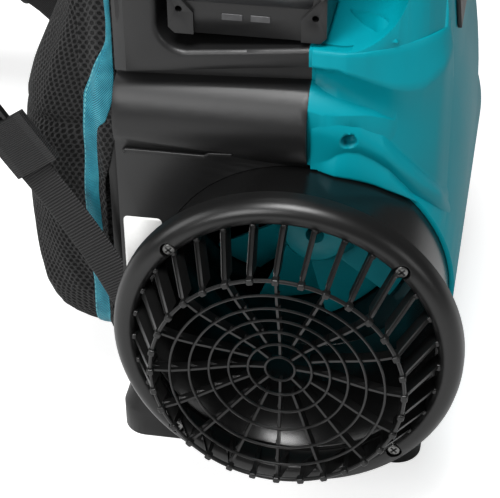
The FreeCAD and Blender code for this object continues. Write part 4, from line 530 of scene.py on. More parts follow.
def inflate(piece, settings, still):
    # cloth with air pressure in it; the still points keep their place
    group = piece.vertex_groups.new(name="held")
    for vertex in piece.data.vertices:
        if still(vertex.co):
            group.add([vertex.index], 1.0, "REPLACE")
    cloth = piece.modifiers.new("cloth", "CLOTH")
    cloth.settings.quality = settings["quality"]
    cloth.settings.use_pressure = True
    cloth.settings.uniform_pressure_force = settings["pressure"]
    cloth.settings.effector_weights.gravity = 0
    cloth.settings.vertex_group_mass = "held"
    cloth.point_cache.frame_end = settings["frames"]
    for step in range(1, settings["frames"] + 1):
        scene.frame_set(step)
    blown = piece.evaluated_get(bpy.context.evaluated_depsgraph_get())
    moved = [vertex.co.copy() for vertex in blown.data.vertices]
    piece.modifiers.remove(cloth)
    scene.frame_set(1)
    for vertex, end in zip(piece.data.vertices, moved):
        shift = end - vertex.co
        if shift.length > settings["cap"]:
            shift *= settings["cap"] / shift.length
        vertex.co = vertex.co + shift
    piece.vertex_groups.clear()


def padMeasure(spot):
    # metres across and along the cover, wrapped round the pad's edges
    front = pad["back"] + pad["depth"] * stationAt(pad["depths"], (spot.z - pad["low"]) / pad["tall"])
    wrap = max(abs(spot.x) - pad["rim"], 0) + max(front - spot.y, 0)
    return math.copysign(wrap, spot.x), spot.z


def makePad():
    piece = place("backPadMesh", padForm(), look=looks["pad_mesh"], body=None)
    remesh = piece.modifiers.new("voxels", "REMESH")
    remesh.mode, remesh.voxel_size = "VOXEL", pad["voxel"]
    solid = finished(piece)
    piece.modifiers.remove(remesh)
    old, piece.data = piece.data, solid
    bpy.data.meshes.remove(old)
    solid.name = "backPadMesh"
    inflate(piece, pad, lambda spot: spot.y < pad["back"] + pad["pinned"])
    for vertex in solid.vertices:
        spot = vertex.co
        fold = pad["foldDepth"] * bell(spot.z - pad["fold"], pad["foldHalf"])
        if spot.y > pad["back"] + pad["rim"]:
            spot.x -= math.copysign(fold, spot.x) * min(abs(spot.x) / pad["foldEdge"], 1)
            spot.y -= fold * (pad["foldFront"] if abs(spot.x) < pad["foldEdge"] else 1)
        if spot.y > pad["back"] + pad["seamFrom"]:
            spot.y -= pad["seamDepth"] * bell(abs(spot.x) - pad["seamX"], pad["seamHalf"])
    for face in solid.polygons:
        face.use_smooth = True
    solid.materials.clear()
    solid.materials.append(looks["pad_mesh"])
    layer = solid.uv_layers.new(name="weave")
    for loop in solid.loops:
        layer.data[loop.index].uv = padMeasure(solid.vertices[loop.vertex_index].co)
    softer(piece)
    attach(piece, "housing")
    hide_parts("back_pad")


makePad()
print("back pad made")

# Bands round the pad's rear edge: spacer mesh that wraps the back plate's edge, and over it the sewn ribbon,
# whose rear edge leaves the plate lower down and whose front edge runs back behind the column higher up.
# Fronts and backs are (height, Y) pairs.

bands = {
    "half": 0.1072, "low": 0.0645, "high": 0.4475,
    "plateHalf": 0.1132, "plateLow": 0.044, "plateHigh": 0.4672,
    "corner": 0.022, "along": 240, "across": 12, "cloth": 0.022, "flareFrom": 0.129, "flare": 0.008,
    "looseFrom": 0.125, "loose": 0.007, "tight": 0.35, "steady": 0.3, "belly": 0.8, "sway": 0.0006,
    "wave": (61, 0.6), "ripple": (143, 0.4), "phase": 1.3, "weld": 0.00001}
bandKinds = {
    "padRibbon": {"fronts": ((0.0, 0.1365), (0.2, 0.1378), (0.234, 0.136), (0.265, 0.1337), (0.287, 0.1235),
                             (0.303, 0.1145), (0.5, 0.1135)),
                  "backs": ((0.0, 0.1225), (0.19, 0.128), (0.207, 0.1262), (0.22, 0.1245), (0.243, 0.1205),
                            (0.262, 0.113), (0.28, 0.1105), (0.5, 0.1105)),
                  "lift": 0.0009, "wave": 0.0012, "thick": 0.0007},
    "padWrap": {"fronts": ((0.0, 0.135), (0.5, 0.135)),
                "backs": ((0.0, 0.1225), (0.2, 0.1225), (0.235, 0.113), (0.26, 0.1095), (0.5, 0.1095)),
                "lift": 0.0, "wave": 0.0003, "thick": 0.0014}}


def roundFrame(distance, half, low, high):
    # a point on an upright rectangle with round corners, from the top's middle down the left side
    corner = bands["corner"]
    across, down, bend = half - corner, (high - low) - 2 * corner, math.pi / 2 * corner
    legs = (across, bend, down, bend, 2 * across, bend, down, bend, across)
    left = distance * sum(legs)
    up, west, south = math.pi / 2, math.pi, -math.pi / 2
    spots = ((0, high, up), (-across, high - corner, up), (-half, high - corner, west),
             (-across, low + corner, west), (-across, low, south), (across, low + corner, south),
             (half, low + corner, 0), (across, high - corner, 0), (across, high, up))
    for i, (leg, (x, z, angle)) in enumerate(zip(legs, spots)):
        if left <= leg or i == len(legs) - 1:
            break
        left -= leg
    if i % 2:
        angle += left / corner
    out = Vector((math.cos(angle), 0, math.sin(angle)))
    return Vector((x, 0, z)) + (out * corner if i % 2 else Vector((-out.z, 0, out.x)) * left), out


def makeBand(name, slot, replaced=()):
    band = bandKinds[name]
    mesh = bmesh.new()
    bmesh.ops.create_grid(mesh, x_segments=bands["along"], y_segments=bands["across"], size=1)
    weave = mesh.loops.layers.uv.new("weave")
    total = 4 * bands["half"] + 2 * (bands["high"] - bands["low"])
    for face in mesh.faces:
        for loop in face.loops:
            x, y = loop.vert.co.xy
            loop[weave].uv = ((1 - (y + 1) / 2) * bands["cloth"], (x + 1) / 2 * total)
    for vertex in mesh.verts:
        a, b = (vertex.co.x + 1) / 2, (vertex.co.y + 1) / 2
        near, out = roundFrame(a, bands["half"], bands["low"], bands["high"])
        far, out = roundFrame(a, bands["plateHalf"], bands["plateLow"], bands["plateHigh"])
        back, front = stationAt(band["backs"], near.z), stationAt(band["fronts"], near.z)
        y = back + (front - back) * b
        share = eased((bands["flareFrom"] - y) / bands["flare"])
        loose = held((bands["looseFrom"] - back) / bands["loose"])
        spot = near + (far - near) * share * (bands["tight"] + (1 - bands["tight"]) * loose)
        ripple = (math.sin(a * bands["wave"][0]) * bands["wave"][1]
                  + math.sin(a * bands["ripple"][0] + bands["phase"]) * bands["ripple"][1])
        swell = ripple * (bands["steady"] + (1 - bands["steady"]) * b)
        spot += out * (band["lift"] + band["wave"] * (swell + math.sin(b * math.pi) * bands["belly"]))
        vertex.co = (spot.x, y + bands["sway"] * ripple * b, spot.z)
    bmesh.ops.remove_doubles(mesh, verts=mesh.verts[:], dist=bands["weld"])
    softer(thicken(place(name, mesh, slot, replaced), band["thick"]))


makeBand("padWrap", "pad_mesh")
makeBand("padRibbon", "binding_teal", ["pad_binding"])
print("bands made")

# Shoulder straps: foam between two layers, piped edges; webbing below each lock, with its folded tail.

straps = {
    "left": ((-0.052, 0.1196, 0.456), (-0.052, 0.1246, 0.456), (-0.0533, 0.1458, 0.4648),
        (-0.0573, 0.1857, 0.4626), (-0.0652, 0.2228, 0.4383), (-0.0784, 0.2467, 0.3963),
        (-0.0956, 0.252, 0.3455), (-0.1088, 0.2309, 0.2949), (-0.1154, 0.2127, 0.2669)),
    "right": ((0.052, 0.1196, 0.456), (0.052, 0.1246, 0.456), (0.0533, 0.1458, 0.4648),
        (0.0573, 0.1877, 0.4614), (0.0652, 0.2308, 0.4333), (0.0784, 0.2667, 0.3838),
        (0.0956, 0.286, 0.3243), (0.1088, 0.2851, 0.2578), (0.1154, 0.2602, 0.2354)),
    "widths": (0.05, 0.05, 0.058, 0.062, 0.062, 0.058, 0.05, 0.04, 0.03),
    "thicks": (0.009, 0.009, 0.012, 0.013, 0.013, 0.012, 0.012, 0.01, 0.007),
    "twists": (0, 0, 0, 3, 10, 24, 44, 68, 90), "piping": 0.0019, "pipingIn": 0.0002, "cuts": (18, 1, 90),
    "pipeCuts": (1, 1, 100), "channelAt": 0.78, "channelHalf": 0.07, "quilt": 0.1, "quilts": 42, "quiltHalf": 0.6,
    "base": 0.3, "full": 0.85, "pinch": 0.34, "edgePower": 6}


def strapShape(b, c, a, width, thick):
    # full in the middle, pinched along the two sewn channels, rounded at its edges
    edge = max(1 - abs(b) ** straps["edgePower"], 0) ** 0.5
    channel = bell(abs(b) - straps["channelAt"], straps["channelHalf"])
    waves = 0.5 - 0.5 * math.cos(a * straps["quilts"])
    quilt = 1 - straps["quilt"] * waves * math.exp(-(b / straps["quiltHalf"]) ** 4)
    full = straps["base"] + straps["full"] * edge * quilt - straps["pinch"] * channel
    return b * width / 2, c * thick / 2 * full


def flatShape(b, c, a, width, thick):
    return b * width / 2, c * thick / 2


def pipeShape(side, radius):
    def shape(b, c, a, width, thick):
        reach = math.hypot(b, c) or 1
        return side * (width / 2 - straps["pipingIn"]) + b / reach * radius, c / reach * radius
    return shape


def makeStrap(name):
    twists = [turn * (-1 if name == "left" else 1) for turn in straps["twists"]]

    def strap(cuts, shape):
        return runAlong(bar(*cuts), straps[name], straps["widths"], straps["thicks"], twists, shape)
    foam = place(f"shoulderStrap{name.title()}", strap(straps["cuts"], strapShape), "strap_fabric",
                 [f"shoulder_strap_{name}"])
    softer(foam)
    for side, edge in ((-1, "A"), (1, "B")):
        pipe = strap(straps["pipeCuts"], pipeShape(side, straps["piping"]))
        softer(place(f"strapPiping{name.title()}{edge}", pipe, "webbing_fabric"))


webbing = {
    "left": ((-0.1402, 0.0895, 0.0765), (-0.1402, 0.0925, 0.0925), (-0.1372, 0.1035, 0.1185),
        (-0.13, 0.127, 0.156), (-0.1235, 0.156, 0.195), (-0.1195, 0.1815, 0.2265),
        (-0.117, 0.199, 0.248), (-0.1135, 0.211, 0.264)),
    "right": ((0.1402, 0.083, 0.076), (0.1402, 0.1, 0.092), (0.1366, 0.127, 0.116),
        (0.129, 0.165, 0.151), (0.123, 0.198, 0.18), (0.119, 0.225, 0.204),
        (0.117, 0.24, 0.217), (0.1135, 0.259, 0.234)),
    "width": 0.025, "thick": 0.0017, "cuts": (7, 0, 70), "turn": {"left": -90, "right": 90},
    "selvedge": 0.92, "thinner": 0.75}
tails = {
    "left": ((-0.1226, 0.164, 0.213), (-0.1222, 0.1765, 0.231), (-0.1218, 0.187, 0.2465)),
    "right": ((0.1222, 0.211, 0.196), (0.122, 0.2235, 0.208), (0.1216, 0.2365, 0.2195)),
    "width": 0.036, "cuts": (5, 0, 14), "layers": 3, "layer": 0.0014, "pitch": 0.0016,
    "narrower": 0.001, "edge": 0.0004}


def webShape(b, c, a, width, thick):
    return b * width / 2, c * thick / 2 * (1 if abs(b) < webbing["selvedge"] else webbing["thinner"])


def makeWebbing(name):
    mesh = runAlong(bar(*webbing["cuts"]), webbing[name], [webbing["width"]] * 2, [webbing["thick"]] * 2,
                    [webbing["turn"][name]] * 2, webShape)
    softer(place(f"webbing{name.title()}", mesh, "webbing_fabric", [f"webbing_{name}"]))


def makeTail(name):
    layers = bmesh.new()
    for k in range(tails["layers"]):
        layer = runAlong(bar(*tails["cuts"]), tails[name], [tails["width"] - tails["narrower"] * k] * 2,
                         [tails["layer"]] * 2, [webbing["turn"][name]] * 2, flatShape)
        shift = math.copysign(tails["pitch"] * k, tails[name][0][0])
        bmesh.ops.translate(layer, vec=(shift, 0, 0), verts=layer.verts[:])
        pour(layer, layers)
    roundOff(place(f"webbingTail{name.title()}", layers, "webbing_fabric"), tails["edge"], 2)


for make in (makeStrap, makeWebbing, makeTail):
    for name in ("left", "right"):
        make(name)
print("straps and webbing made")

# Sculpted flanks of the rear shell. Rows run along the forms' lines, from the bay's ledge down to the neck:
# below the ledge the channel widens and fades, the roll's end bulges and turns down round the neck.
# The outline is (x, y) from above; the lines give heights and depths at millimetres along it.

flank = {
    "outline": ((-0.1386, -0.0212), (-0.1384, -0.03), (-0.1366, -0.04), (-0.1332, -0.0505),
        (-0.1292, -0.061), (-0.1254, -0.0715), (-0.1195, -0.082), (-0.111, -0.0925),
        (-0.0995, -0.102), (-0.0845, -0.1095), (-0.066, -0.115)),
    "length": 133, "columns": 116, "fade": (0.78, 0.97), "top": 0.3238, "middle": 0.42, "thick": 0.0006,
    "neck": {-1: (-0.015, 0.142, 0.0983), 1: (-0.015, 0.182, 0.0568)}, "grooveEnd": (-0.026, 0.2405),
    "gaps": {"fold": 0.002, "roll": 0.006, "bulge": 0.003}, "hem": 0.01, "hemUp": 0.0006, "edgeIn": 0.0008,
    "edgeUp": 0.0004, "foldIn": 0.0003, "footIn": 0.006, "footDown": 0.0002,
    "probe": 0.02, "reach": 0.06, "deepest": 0.03, "tuck": 0.0008, "screwHole": 0.0051, "wellDepth": 0.0065,
    "crease": ((0, 0.3133), (24, 0.3133), (36, 0.309), (50, 0.303), (66, 0.2975), (78, 0.2945), (89, 0.2935),
        (97, 0.2975), (133, 0.315)),
    "rollTop": ((0, 0.29), (9, 0.29), (25, 0.2856), (42, 0.277), (60, 0.263), (82, 0.24), (112, 0.205),
        (133, 0.188)),
    "fold": ((0, 0.244), (17, 0.248), (24, 0.252), (32, 0.2536), (41, 0.252), (52, 0.246), (65, 0.237),
        (78, 0.222), (94, 0.202), (112, 0.179), (133, 0.16)),
    "ledgeIn": ((0, 0.005), (19, 0.003), (30, 0.0008), (45, 0.0004), (55, 0.0018), (66, 0.0042), (80, 0.0056),
        (133, 0.006)),
    "creaseIn": ((0, 0.0034), (19, 0.0014), (30, -0.0008), (66, -0.0006), (97, 0.0002), (133, 0.002)),
    "channelIn": ((0, 0.019), (9, 0.0175), (24, 0.013), (42, 0.0082), (60, 0.0058), (80, 0.005), (97, 0.0042),
        (115, 0.0034), (133, 0.002)),
    "rollIn": ((0, 0.0125), (9, 0.0112), (25, 0.0076), (42, 0.0054), (60, 0.0046), (80, 0.0042),
        (100, 0.0038), (115, 0.0032), (133, 0.002)),
    "rollDrop": ((0, 0.024), (25, 0.022), (42, 0.018), (60, 0.014), (80, 0.012), (133, 0.008)),
    "bulgeOut": ((0, 0.0), (20, -0.0008), (60, -0.0024), (100, -0.0026), (133, 0.0)),
    "neckIn": ((0, 0.0004), (10, 0.0), (22, -0.0034), (60, -0.0044), (90, -0.004), (115, -0.002), (133, 0.0))}


def flankRows(run, low):
    # (height, depth below the outline, rows, how it eases) from the top down, at a distance along the outline
    def at(key):
        return stationAt(flank[key], run)
    crease, fold, ledge = at("crease"), max(at("fold"), low + flank["gaps"]["fold"]), at("ledgeIn")
    roll = max(at("rollTop"), fold + flank["gaps"]["roll"])
    bulge = max(at("rollTop") - at("rollDrop"), fold + flank["gaps"]["bulge"])
    return ((flank["top"] + flank["hemUp"], ledge + flank["hem"], 0, None),
            (flank["top"] + flank["edgeUp"], ledge + flank["edgeIn"], 3, "even"),
            (flank["top"] - flank["hemUp"], ledge, 2, "even"), (crease, at("creaseIn"), 6, "even"),
            (roll + (crease - roll) * flank["middle"], at("channelIn"), 10, "out"),
            (roll, at("rollIn"), 10, "in"), (bulge, at("bulgeOut"), 16, "out"),
            (fold, flank["foldIn"], 18, "in"), (low, at("neckIn"), 12, "out"),
            (low - flank["footDown"], flank["footIn"], 3, "even"))


def turnedShare(share, way):
    if way == "even":
        return share
    return math.sin(share * math.pi / 2) if way == "out" else 1 - math.cos(share * math.pi / 2)


def flankColumn(side, a, walls):
    # the column of points at a share of the outline's length; near the outline's end it sinks into the shell
    outline = [(x, y, 0) for x, y in flank["outline"]]
    spot, ahead, back = (curveAt(outline, a + step) for step in (0, 0.002, -0.002))
    along = (ahead - back).normalized()
    out = Vector((along.y, -along.x, 0))
    out *= -1 if out.x > 0 else 1
    y, z, radius = flank["neck"][side]
    gap = radius * radius - (spot.y - y) ** 2
    low = z + math.sqrt(gap) if gap > 0 else z
    if side < 0 and spot.y > flank["grooveEnd"][0]:
        low = max(low, flank["grooveEnd"][1])
    rows = flankRows(a * flank["length"], low)
    fade = eased((a - flank["fade"][0]) / (flank["fade"][1] - flank["fade"][0]))
    points = [(z0 + (z1 - z0) * k / steps, e0 + (e1 - e0) * turnedShare(k / steps, way))
              for (z0, e0, none, start), (z1, e1, steps, way) in zip(rows, rows[1:]) for k in range(steps)]
    column = []
    for height, deep in (*points, rows[-1][:2]):
        spot.z = height
        hit = walls.ray_cast(spot + out * flank["probe"], -out, flank["reach"])[3] if fade > 0 else None
        wall = (hit - flank["probe"] if hit else flank["deepest"]) + flank["tuck"]
        column.append(spot - out * (deep * (1 - fade) + min(wall, flank["deepest"]) * fade))
    return column


def sinkScrewWell(mesh, side):
    # a round blind well over the housing screw
    low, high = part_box("housing_screws")
    middle = (low + high) / 2

    def reach(point):
        return math.hypot(point.y - middle.y, point.z - middle.z)
    hole = [face for face in mesh.faces if reach(face.calc_center_median()) < flank["screwHole"]]
    bmesh.ops.delete(mesh, geom=hole, context="FACES")
    rim = [edge for edge in mesh.edges
           if edge.is_boundary and all(reach(vertex.co) < flank["screwHole"] * 2 for vertex in edge.verts)]
    for vertex in {vertex for edge in rim for vertex in edge.verts}:
        grow = flank["screwHole"] / reach(vertex.co)
        vertex.co.y = middle.y + (vertex.co.y - middle.y) * grow
        vertex.co.z = middle.z + (vertex.co.z - middle.z) * grow
    made = bmesh.ops.extrude_edge_only(mesh, edges=rim)["geom"]
    bottom = [item for item in made if isinstance(item, bmesh.types.BMVert)]
    bmesh.ops.translate(mesh, vec=(-side * flank["wellDepth"], 0, 0), verts=bottom)
    ends = [item for item in made if isinstance(item, bmesh.types.BMEdge) and item.is_boundary]
    bmesh.ops.edgeloop_fill(mesh, edges=ends)


def makeFlank(side):
    shell = nodes["rear_shell"].data
    walls = BVHTree.FromPolygons([vertex.co for vertex in shell.vertices],
                                 [tuple(face.vertices) for face in shell.polygons])
    across = flank["columns"]
    columns = [flankColumn(side, k / across, walls) for k in range(across + 1)]
    down = len(columns[0]) - 1
    mesh = bmesh.new()
    bmesh.ops.create_grid(mesh, x_segments=across, y_segments=down, size=1)
    for vertex in mesh.verts:
        spot = columns[round((vertex.co.x + 1) / 2 * across)][round((1 - vertex.co.y) / 2 * down)]
        vertex.co = (spot.x * -side, spot.y, spot.z)
    sinkScrewWell(mesh, side)
    thicken(place(f"shellFlank{sideName[side]}", mesh, "shell_teal"), flank["thick"], -1)


# The raised leaf on each battery bay's rear curve.

leaf = {
    "route": ((-0.0786, -0.0377, 0.3243), (-0.087, -0.045, 0.3248), (-0.098, -0.0525, 0.3268),
        (-0.109, -0.06, 0.33), (-0.119, -0.068, 0.329), (-0.121, -0.072, 0.327)),
    "widths": (0.0015, 0.009, 0.013, 0.012, 0.006, 0.0015),
    "thicks": (0.0016, 0.003, 0.0036, 0.0036, 0.003, 0.0016), "twists": (20, 25, 30, 35, 40, 40),
    "cuts": (8, 1, 40), "thin": 0.7}


def leafShape(b, c, a, width, thick):
    return b * width / 2, c * thick / 2 * (1 - leaf["thin"] * b * b)


def makeLeaf(side):
    route = [(x * -side, y, z) for x, y, z in leaf["route"]]
    twists = [turn * -side for turn in leaf["twists"]]
    mesh = runAlong(bar(*leaf["cuts"]), route, leaf["widths"], leaf["thicks"], twists, leafShape)
    softer(place(f"bayLeaf{sideName[side]}", mesh, "shell_teal"))


for side in sideName:
    makeFlank(side)
    makeLeaf(side)
print("flanks made")

# Basket grille round the intake's axis: rolled lip with four screw seats, domed web of rings and spokes,
# slanting fins, beads where the fins meet the lip and the ring, and gussets behind the web. Lip and duct are
# (distance in front of the origin, radius); a fin's ends are (front x, front radius, back x, back radius).

grille = {
    "centre": Vector((0, -0.015, 0.142)), "around": 144, "screwRadius": 0.103, "seat": 0.0054,
    "seatX": -0.206, "seatDepth": 0.01, "fins": 32, "spokes": 16, "ringX": -0.235, "ringRadius": 0.0805,
    "lipX": -0.2015, "lipRadius": 0.0985, "bead": (0.0054, 0.0044, 0.0046), "lipBead": (0.005, 0.0036, 0.004),
    "hub": 0.0095, "innerRing": 0.0205, "rings": (0.0325, 0.0445, 0.0565, 0.0685, 0.0805), "hubX": -0.22,
    "dome": 0.015, "wire": 0.00085, "rimWire": 0.00125, "oval": 1.15, "spokeWidth": 0.0016,
    "spoke": (0.0006, 0.008), "hubSpoke": (0.0004, 0.005), "finWidth": 0.0026, "finEdge": 0.001,
    "finIn": (-0.2348, 0.0812, -0.22, 0.0793), "finOut": (-0.199, 0.1007, -0.1885, 0.0978),
    "gusset": (0.0075, 0.0042, 0.0065), "gussetX": 0.0046, "gussetTip": 0.12, "edge": 0.0005,
    "beadEdge": 0.0012,
    "lip": ((0.187, 0.098), (0.187, 0.1125), (0.1885, 0.114), (0.194, 0.114), (0.198, 0.1133),
        (0.2012, 0.1117), (0.2038, 0.109), (0.205, 0.1056), (0.2048, 0.1025), (0.2036, 0.1),
        (0.201, 0.0985), (0.196, 0.098)),
    "duct": ((0.1867, 0.0952), (0.1845, 0.0938), (0.179, 0.0909), (0.172, 0.0877), (0.162, 0.0841),
        (0.15, 0.0807), (0.138, 0.078), (0.126, 0.0761), (0.114, 0.0751), (0.101, 0.075),
        (0.101, 0.086), (0.105, 0.086), (0.105, 0.0782), (0.118, 0.0785), (0.138, 0.0812),
        (0.16, 0.0869), (0.177, 0.0945), (0.112, 0.0945), (0.112, 0.0975), (0.15, 0.0975),
        (0.18, 0.0975), (0.183, 0.101), (0.1867, 0.101))}


def webX(radius):
    share = (radius - grille["hub"]) / (grille["ringRadius"] - grille["hub"])
    return grille["hubX"] - grille["dome"] * eased(share)


def addTurned(mesh, steps, segments):
    pour(turned(steps, grille["centre"], (-1, 0, 0), segments), mesh)


def roundAxis(count):
    # directions out from the axis, evenly round it
    for k in range(count):
        angle = 2 * math.pi * k / count
        yield Vector((0, math.cos(angle), math.sin(angle)))


def screwSpots(x):
    reach = grille["screwRadius"] * math.sqrt(0.5)
    return [grille["centre"] + Vector((x, sy * reach, sz * reach)) for sy in (-1, 1) for sz in (-1, 1)]


def addBlade(mesh, out, width, inner, outer, soft=0):
    # a flat blade in the plane of the axis, its front edges rounded
    blade = bar(0, 1, 7)
    fronts = [edge for edge in blade.edges if all(vertex.co.y < 0 for vertex in edge.verts)
              and abs(edge.verts[0].co.z - edge.verts[1].co.z) > 0.01]
    side = Vector((0, -out.z, out.y))
    for vertex in blade.verts:
        b, c, a = vertex.co
        ends = [low + (high - low) * (a + 1) / 2 for low, high in zip(inner, outer)]
        x, radius = (ends[k] + (ends[k + 2] - ends[k]) * (c + 1) / 2 for k in (0, 1))
        vertex.co = grille["centre"] + out * radius + side * (b * width / 2) + Vector((x, 0, 0))
    if soft:
        bmesh.ops.bevel(blade, geom=fronts, offset=soft, segments=3, profile=0.5, affect="EDGES", material=-1)
    pour(blade, mesh)


def addSpoke(mesh, out, low, high, depths):
    front, back = depths
    ends = [(webX(radius) + front, radius, webX(radius) + back, radius) for radius in (low, high)]
    addBlade(mesh, out, grille["spokeWidth"], *ends)


def seatedLip():
    # the lip with its screw seats cut
    mesh, cutter = bmesh.new(), bmesh.new()
    addTurned(mesh, grille["lip"], grille["around"])
    for spot in screwSpots(grille["seatX"]):
        lie = Matrix.Translation(spot) @ Matrix.Rotation(math.pi / 2, 4, "Y")
        bmesh.ops.create_cone(cutter, cap_ends=True, segments=40, radius1=grille["seat"],
                              radius2=grille["seat"], depth=grille["seatDepth"], matrix=lie)
    lip = place("lipBlank", mesh, look=looks["grille_black"], body=None)
    tool = place("seatTool", cutter, look=extras["recess"], body=None)
    seats = lip.modifiers.new("seats", "BOOLEAN")
    seats.operation, seats.object, seats.solver = "DIFFERENCE", tool, "EXACT"
    cut = finished(lip)
    for gone in (lip, tool):
        bpy.data.objects.remove(gone)
    mesh = bmesh.new()
    mesh.from_mesh(cut)
    bpy.data.meshes.remove(cut)
    return mesh


def makeBasket():
    mesh = seatedLip()
    hub, inner, rings = grille["hub"], grille["innerRing"], grille["rings"]
    for radius in (hub, inner, *rings):
        wire = grille["rimWire"] if radius == rings[-1] else grille["wire"]
        turns = [math.pi / 4 * k for k in range(8)]
        steps = [(-webX(radius) + wire * grille["oval"] * math.cos(turn), radius + wire * math.sin(turn))
                 for turn in turns]
        addTurned(mesh, steps, 96 if radius in rings else 48)
    for k, out in enumerate(roundAxis(grille["spokes"])):
        for low, high in zip((inner, *rings), rings):
            addSpoke(mesh, out, low, high, grille["spoke"])
        if k % 2 == 0:
            addSpoke(mesh, out, hub, inner, grille["hubSpoke"])
    for out in roundAxis(grille["fins"]):
        addBlade(mesh, out, grille["finWidth"], grille["finIn"], grille["finOut"], grille["finEdge"])
    roundOff(place("basketGrille", mesh, "grille_black", ["intake_grille"]), grille["edge"], 2, 35)


def makeNeck():
    mesh = bmesh.new()
    addTurned(mesh, grille["duct"], grille["around"])
    roundOff(place("neckDuct", mesh, "duct_black", ["intake_duct"]), grille["edge"], 2, 40)


def makeBeads():
    mesh = bmesh.new()
    for out in roundAxis(grille["fins"]):
        turn = Vector((0, 1, 0)).rotation_difference(out)
        for x, radius, size in ((grille["ringX"], grille["ringRadius"], grille["bead"]),
                                (grille["lipX"], grille["lipRadius"], grille["lipBead"])):
            addBlock(mesh, grille["centre"] + out * radius + Vector((x, 0, 0)), size, turn)
    roundOff(place("grilleBeads", mesh, "grille_black"), grille["beadEdge"])


def makeGussets():
    # small pyramids behind the rings, their points along the spokes towards the hub
    mesh = bmesh.new()
    size = Matrix.Diagonal((*grille["gusset"], 1))
    lie = Matrix.Rotation(math.pi / 2, 4, "X")
    for out in roundAxis(grille["spokes"]):
        turn = Vector((0, 1, 0)).rotation_difference(out).to_matrix().to_4x4()
        for ring in grille["rings"]:
            spot = grille["centre"] + out * (ring - grille["gusset"][2] / 2)
            spot.x = webX(ring) + grille["gussetX"]
            made = bmesh.ops.create_cone(mesh, cap_ends=True, segments=3, radius1=0.5,
                                         radius2=grille["gussetTip"], depth=1)["verts"]
            bmesh.ops.transform(mesh, matrix=Matrix.Translation(spot) @ turn @ lie @ size, verts=made)
    piece = place("grilleGussets", mesh, "grille_black")
    for face in piece.data.polygons:
        face.use_smooth = False


makeBasket()
makeNeck()
makeBeads()
makeGussets()
print("grille details made")

# Pan-head screws with a cross recess: shares of the height and of the radius.

screws = {
    "radius": 0.0046, "seated": 0.0051, "height": 0.0026, "rim": 0.95, "crown": 0.66, "cross": 1.04,
    "arm": 0.23, "bar": 0.16, "barAt": 0.48, "proud": 0.0012, "sunk": 0.0015}


def addScrew(mesh, centre, away, radius):
    height = screws["height"]
    turn = Vector((0, 0, 1)).rotation_difference(away)
    lie = Matrix.Translation(centre) @ turn.to_matrix().to_4x4()
    rim, crown = radius * screws["rim"], radius * screws["crown"]
    for middle, depth, wide, narrow in ((-0.2, 0.6, radius, rim), (0.3, 0.4, rim, crown)):
        bmesh.ops.create_cone(mesh, cap_ends=True, segments=28, radius1=wide, radius2=narrow,
                              depth=height * depth, matrix=lie @ Matrix.Translation((0, 0, height * middle)))
    arm = (radius * screws["cross"], radius * screws["arm"], height * screws["bar"])
    # the cross is two thin blocks in the second material, painted near-black as the shade in the recess
    for spin in (45, 135):
        addBlock(mesh, centre + away * (height * screws["barAt"]), arm,
                 turn @ Quaternion((0, 0, 1), math.radians(spin)), 1)


def makeScrews(name, node, heads, radius):
    mesh = bmesh.new()
    for spot, way in heads:
        addScrew(mesh, spot, Vector((way, 0, 0)), radius)
    place(name, mesh, "screw_steel", [node], extra=extras["recess"])


makeScrews("grilleScrewHeads", "grille_screws",
           [(spot, -1) for spot in screwSpots(grille["lipX"] - screws["proud"])], screws["seated"])
low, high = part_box("housing_screws")
middle = (low + high) / 2
makeScrews("housingScrewHeads", "housing_screws",
           [(Vector((low.x + screws["sunk"], middle.y, middle.z)), -1),
            (Vector((high.x - screws["sunk"], middle.y, middle.z)), 1)], screws["radius"])
print("screws made")

# Ribbed hose: two straight stretches along one axis. A rib's points are (share of its pitch, crest or
# valley, radius added to it).

hose = {
    "axis": (0.261, 0.182), "crest": 0.0466, "valley": 0.0422, "bore": 0.0392, "ribs": 8, "collar": 0.0012,
    "lap": 0.0004, "back": 12, "around": 72,
    "cuff": {"hose_rear": 0.016, "hose_front": 0.002},
    "ends": {"hose_rear": (0.014, 0.006), "hose_front": (0.006, 0.006)},
    "rib": ((0.06, "valley", 0), (0.2, "valley", 0.0006), (0.34, "crest", -0.0008), (0.48, "crest", 0),
        (0.62, "crest", 0), (0.76, "crest", -0.0008), (0.9, "valley", 0.0006))}


def ribSteps(start, end, cuff):
    bore, low = hose["bore"], start + cuff
    pitch = (end - low) / hose["ribs"]
    steps = [(start, bore), (start, hose["valley"] + hose["collar"])]
    steps += [(low + pitch * k + pitch * share, hose[line] + more)
              for k in range(hose["ribs"]) for share, line, more in hose["rib"]]
    steps += [(end, hose["valley"] + hose["lap"]), (end, bore)]
    return steps + [(end + (start - end) * k / hose["back"], bore) for k in range(1, hose["back"])]


def makeHose(name, node):
    low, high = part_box(node)
    x, z = hose["axis"]
    mesh = turned(ribSteps(low.y, high.y, hose["cuff"][node]), (x, 0, z), (0, 1, 0), hose["around"])
    piece = place(name, mesh, "rubber", [node], None)
    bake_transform(piece)


makeHose("hoseRibsRear", "hose_rear")
makeHose("hoseRibsFront", "hose_front")
print("hose made")

# The bare white label plate, the step along the side panel, and the plates and marks of the batteries.

label = {"x": 0.1351, "y": (0.0785, 0.1045), "z": (0.13, 0.1885), "thick": 0.0004, "corner": 0.003,
         "steps": 5}
panel = {"x": 0.1275, "y": (-0.0205, 0.0605), "z": (0.349, 0.3625), "thick": 0.0004, "corner": 0.004,
         "steps": 4}
marks = {
    "x": 0.1272, "z": (0.3374, 0.3418), "spans": ((0.023, 0.0361), (0.0056, 0.018)), "thick": 0.0008,
    "edge": 0.0003}
panelStep = {
    "x": 0.1362, "lap": 0.0012, "deep": 0.003, "high": 0.0026, "edge": 0.0008,
    "route": ((0.1015, 0.2405), (0.1, 0.2415), (0.048, 0.2415), (0.0445, 0.244), (0.03, 0.2448))}


